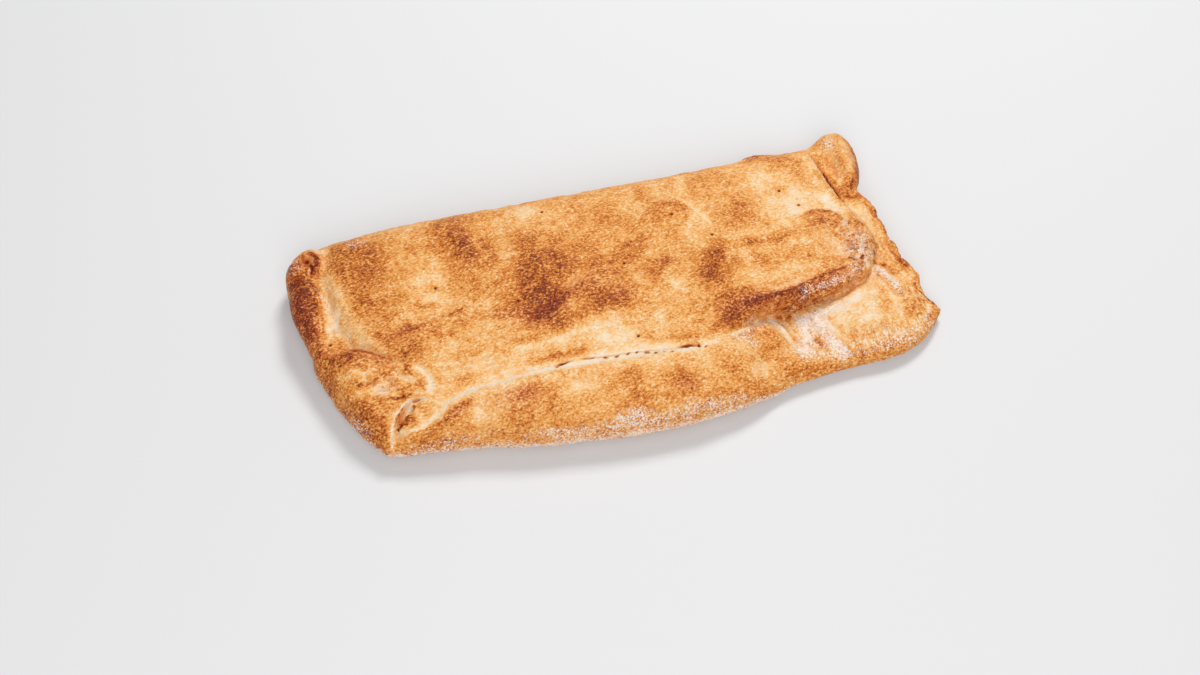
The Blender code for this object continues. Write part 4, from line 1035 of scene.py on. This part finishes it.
# Where the skin is finely wrinkled: the thin end, the pinched corner, the lip, the crust edge, the curl
WRINKLED = [
    (1.0, (113, -52), (18, 7), 5), (0.8, (86, -44), (8, 13)), (0.8, (137, -44), (8, 8), 30),
    (0.5, (140, -32), (4, 8)), (0.5, (52, -42), (8, 5)), (0.6, (119, -2), (7, 10), 30),
    (0.5, (-140, 38), (7, 7)), (0.4, (95, -25), (16, 4), 12), (0.4, (137, 0), (4, 22), 6),
]
wrinkled = patches(WRINKLED)

layers = {"browned": browned, "reddened": reddened, "painted_gap_shade": painted_gap_shade, "floured": floured, "wrinkled": wrinkled}
for name, values in layers.items():
    layer = skin.attributes.new(name, "FLOAT", "POINT")
    layer.data.foreach_set("value", np.clip(values, 0, 1).astype(np.float32))


def paint(red, green, blue):
    """A colour as it is seen on screen, 0 to 255 each, as the shader wants it."""
    parts = [c / 255 for c in (red, green, blue)]
    return (*[c / 12.92 if c <= 0.04045 else ((c + 0.055) / 1.055) ** 2.4 for c in parts], 1.0)


class Wiring:
    """Short ways to add and link the nodes of one material."""

    def __init__(self, name):
        self.material = bpy.data.materials.new(name)
        self.material.use_nodes = True
        self.tree = self.material.node_tree
        self.shader = self.tree.nodes["Principled BSDF"]

    def add(self, kind, settings=(), **inputs):
        """A new node. Its inputs go by name, or as i0, i1 and so on by number."""
        node = self.tree.nodes.new("ShaderNode" + kind)
        for name, value in dict(settings).items():
            setattr(node, name, value)
        for name, value in inputs.items():
            self.put(node.inputs[int(name[1:]) if name[1:].isdigit() else name.replace("_", " ")], value)
        return node

    def put(self, socket, value):
        """Sets a socket to a value, or links another node's output to it."""
        if isinstance(value, bpy.types.NodeSocket):
            self.tree.links.new(value, socket)
        else:
            socket.default_value = value

    def sum(self, first, second, way="ADD", **more):
        """One step of arithmetic on two values; adds them unless told otherwise."""
        settings = {"operation": way, **more}
        return self.add("Math", settings, i0=first, i1=second).outputs[0]

    def weighed(self, *parts):
        """Sum of the values given, each times its weight."""
        total, *rest = [self.sum(value, weight, "MULTIPLY") for value, weight in parts]
        for part in rest:
            total = self.sum(total, part)
        return total

    def blend(self, share, first, second, way="MIX"):
        """Two colours, mixed by a share from 0 to 1."""
        settings = {"data_type": "RGBA", "blend_type": way}
        return self.add("Mix", settings, i0=share, i6=first, i7=second).outputs[2]

    def grain(self, place, size, detail=2.0, rough=0.55, warp=0.0):
        """Fine unevenness of that size in millimetres, from about -0.5 to 0.5."""
        made = self.add("TexNoise", Vector=place, Scale=1 / (size * MM), Detail=detail, Roughness=rough,
                        Distortion=warp)
        return self.sum(made.outputs["Fac"], 0.5, "SUBTRACT")

    def group(self, tree, **inputs):
        """What a node group puts out."""
        return self.add("Group", {"node_tree": tree}, **inputs).outputs[0]

    def ramp(self, value, stops):
        """Colours by value, from a table of places and colours."""
        node = self.add("ValToRGB", Fac=value)
        while len(node.color_ramp.elements) < len(stops):
            node.color_ramp.elements.new(0.5)
        for element, (where, colour) in zip(node.color_ramp.elements, stops):
            element.position = where
            element.color = colour
        return node.outputs["Color"]


# The uneven white of flour, on the skin and on the loose grains alike
flour_tint = bpy.data.node_groups.new("flour_tint", "ShaderNodeTree")
flour_tint.interface.new_socket("Place", in_out="INPUT", socket_type="NodeSocketVector")
flour_tint.interface.new_socket("Colour", in_out="OUTPUT", socket_type="NodeSocketColor")
entry = flour_tint.nodes.new("NodeGroupInput")
leave = flour_tint.nodes.new("NodeGroupOutput")
uneven = flour_tint.nodes.new("ShaderNodeTexNoise")
uneven.inputs["Scale"].default_value = 1 / (2.2 * MM)
mixed = flour_tint.nodes.new("ShaderNodeMix")
mixed.data_type = "RGBA"
mixed.inputs[6].default_value = paint(254, 247, 241)
mixed.inputs[7].default_value = paint(244, 225, 211)
flour_tint.links.new(entry.outputs["Place"], uneven.inputs["Vector"])
flour_tint.links.new(uneven.outputs["Fac"], mixed.inputs[0])
flour_tint.links.new(mixed.outputs[2], leave.inputs["Colour"])

crust = Wiring("baked_dough_skin")
place = crust.add("TexCoord").outputs["Object"]
value = {name: crust.add("Attribute", {"attribute_name": name}).outputs["Fac"] for name in layers}
drawn = crust.add("Mapping", Vector=place, Rotation=(0, 0, -0.5), Scale=(0.75, 1.15, 1.0)).outputs[0]
lined = crust.add("Mapping", Vector=place, Rotation=(0, 0, 0.25), Scale=(1.5, 0.4, 0.8)).outputs[0]
coarse = crust.grain(drawn, 9.0, 3.0, 0.6, 0.8)
medium = crust.grain(drawn, 3.6, 2.0, 0.65, 0.6)
fine = crust.grain(drawn, 1.05, 2.0, 0.75, 0.2)
folds = crust.sum(crust.grain(lined, 1.9, 1.0, 0.6, 0.5), value["wrinkled"], "MULTIPLY")

# Browning, broken up more where it is stronger
swing = crust.sum(crust.weighed((value["browned"], 1.5)), 0.15)
broken = crust.weighed((coarse, 0.34), (medium, 0.4), (fine, 1.9), (folds, 1.6))
toned = crust.sum(value["browned"], crust.sum(broken, swing, "MULTIPLY"), use_clamp=True)
BROWN = [
    (0.00, paint(241, 227, 209)), (0.10, paint(244, 212, 168)), (0.22, paint(242, 190, 125)),
    (0.36, paint(233, 162, 82)), (0.50, paint(216, 135, 56)), (0.64, paint(192, 105, 36)),
    (0.80, paint(162, 75, 20)), (1.00, paint(112, 42, 8)),
]
RED = [
    (0.00, paint(242, 220, 200)), (0.24, paint(235, 173, 120)), (0.45, paint(211, 127, 75)),
    (0.62, paint(180, 90, 44)), (0.80, paint(148, 57, 26)), (1.00, paint(106, 34, 14)),
]
colour = crust.blend(value["reddened"], crust.ramp(toned, BROWN), crust.ramp(toned, RED))

# Flour lies as specks, closer together where there is more of it
sprinkled = crust.grain(place, 0.95, 2.0, 0.7)
specks = crust.weighed((sprinkled, 3.4), (medium, 0.4), (folds, -0.9))
dust = crust.sum(value["floured"], specks)
dusted = crust.add("MapRange", {"interpolation_type": "SMOOTHSTEP"}, Value=dust, i1=0.42, i2=0.80).outputs[0]
lying = crust.add("MapRange", Value=value["floured"], i1=0.08, i2=0.25).outputs[0]
dusted = crust.sum(crust.weighed((dusted, 0.94)), lying, "MULTIPLY")
lain = crust.blend(0.10, crust.group(flour_tint, Place=place), colour)
colour = crust.blend(dusted, colour, lain)
# Painted shade in the gaps, slits and hollows, made warmer as light bounced from their sides would be
SHADED = [
    (0.0, (1.0, 1.0, 1.0, 1.0)), (0.25, paint(228, 172, 112)), (0.55, paint(150, 84, 40)),
    (1.0, paint(66, 24, 6)),
]
colour = crust.blend(1.0, colour, crust.ramp(value["painted_gap_shade"], SHADED), "MULTIPLY")
crust.put(crust.shader.inputs["Base Color"], colour)

# The crust has a dull sheen that is stronger where it is dark; flour has none
sheen = crust.sum(crust.weighed((toned, -0.28)), 0.66)
sheen = crust.sum(sheen, crust.weighed((dusted, 0.30)), use_clamp=True)
crust.put(crust.shader.inputs["Roughness"], sheen)
crust.shader.inputs["Specular IOR Level"].default_value = 0.22
crust.shader.inputs["Subsurface Weight"].default_value = 0.06
crust.shader.inputs["Subsurface Radius"].default_value = (1.0, 0.45, 0.2)
crust.shader.inputs["Subsurface Scale"].default_value = 0.003

pores = crust.sum(crust.weighed((medium, 0.5), (fine, 0.7)), crust.weighed((dusted, 0.12), (folds, 0.9)))
bump = crust.add("Bump", Height=pores, Strength=1.0, Distance=0.001)
crust.put(crust.shader.inputs["Normal"], bump.outputs["Normal"])

dough = placed("khachapuri_dough", skin)
skin.materials.append(crust.material)
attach(dough, "root")
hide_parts("khachapuri")

# Loose grains of the same flour, caught in the wrinkles and on the floured sides
GRAINS = 2400
GRAIN_RADII = (0.10, 0.24)
flour_mesh = bpy.data.meshes.new("loose_flour")
bm = bmesh.new()
chance = np.where(underside | (height < 0.6), 0, floured**3)
for spot in draw.choice(count, GRAINS, replace=False, p=chance / chance.sum()):
    radius = draw.uniform(*GRAIN_RADII)
    centre = points[spot] + plan_shift + facing[spot] * radius * 0.3
    grain = bmesh.ops.create_icosphere(bm, subdivisions=1, radius=radius * MM)["verts"]
    bmesh.ops.scale(bm, vec=draw.uniform(0.6, 1.3, 3), verts=grain)
    bmesh.ops.translate(bm, vec=centre * MM, verts=grain)
bm.to_mesh(flour_mesh)
bm.free()
powder = Wiring("wheat_flour")
spot = powder.add("TexCoord").outputs["Object"]
powder.put(powder.shader.inputs["Base Color"], powder.group(flour_tint, Place=spot))
powder.shader.inputs["Roughness"].default_value = 0.95
powder.shader.inputs["Specular IOR Level"].default_value = 0.2
flour_mesh.materials.append(powder.material)
flour = placed("loose_flour", flour_mesh)
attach(flour, "root")


# ---- Table, light and camera ---------------------------------------------------------------------
# A plain pale table. A lamp stands behind to the right, as a window would, and a broader, softer one in
# front to the left.

TABLE = 4.0               # metres across
CLEAR = 0.0001            # metres from it to the underside
table_mesh = bpy.data.meshes.new("table")
bm = bmesh.new()
bmesh.ops.create_grid(bm, x_segments=1, y_segments=1, size=TABLE / 2)
bmesh.ops.translate(bm, verts=bm.verts, vec=(0, 0, -CLEAR))
bm.to_mesh(table_mesh)
bm.free()
table_top = Wiring("pale_table")
table_top.shader.inputs["Base Color"].default_value = (0.74, 0.745, 0.76, 1.0)
table_top.shader.inputs["Roughness"].default_value = 0.9
table_mesh.materials.append(table_top.material)
table = placed("table", table_mesh)

# Name, place, breadth, power in watts and tone
for name, spot, size, power, tone in (
    ("window_lamp", (0.40, 0.75, 1.10), 0.4, 11.0, (1.0, 0.99, 0.97)),
    ("room_lamp", (-0.25, -1.0, 0.9), 1.0, 10.3, (1.0, 0.99, 0.98)),
):
    lamp = bpy.data.lights.new(name, "AREA")
    lamp.size = size
    lamp.energy = power
    lamp.color = tone
    light = placed(name, lamp)
    light.location = spot
    light.rotation_euler = (-Vector(spot)).to_track_quat("-Z", "Y").to_euler()

world = bpy.data.worlds.new("room")
world.use_nodes = True
world.node_tree.nodes["Background"].inputs["Color"].default_value = (1.0, 1.0, 1.0, 1.0)
world.node_tree.nodes["Background"].inputs["Strength"].default_value = 0.38
scene.world = world
scene.view_settings.view_transform = "Standard"

CAMERA_AT = (-0.1388, -0.4431, 0.6385)    # metres
LOOKING = Vector((0.16328, 0.55122, -0.81822))
ROLL = 0.03729            # radians, anticlockwise
lens = bpy.data.cameras.new("camera")
lens.sensor_width = 36.0
lens.lens = 50.0
lens.clip_start = 0.01
camera = placed("camera", lens)
turned = LOOKING.to_track_quat("-Z", "Y").to_matrix().to_4x4() @ Matrix.Rotation(ROLL, 4, "Z")
camera.matrix_world = Matrix.Translation(CAMERA_AT) @ turned
scene.camera = camera
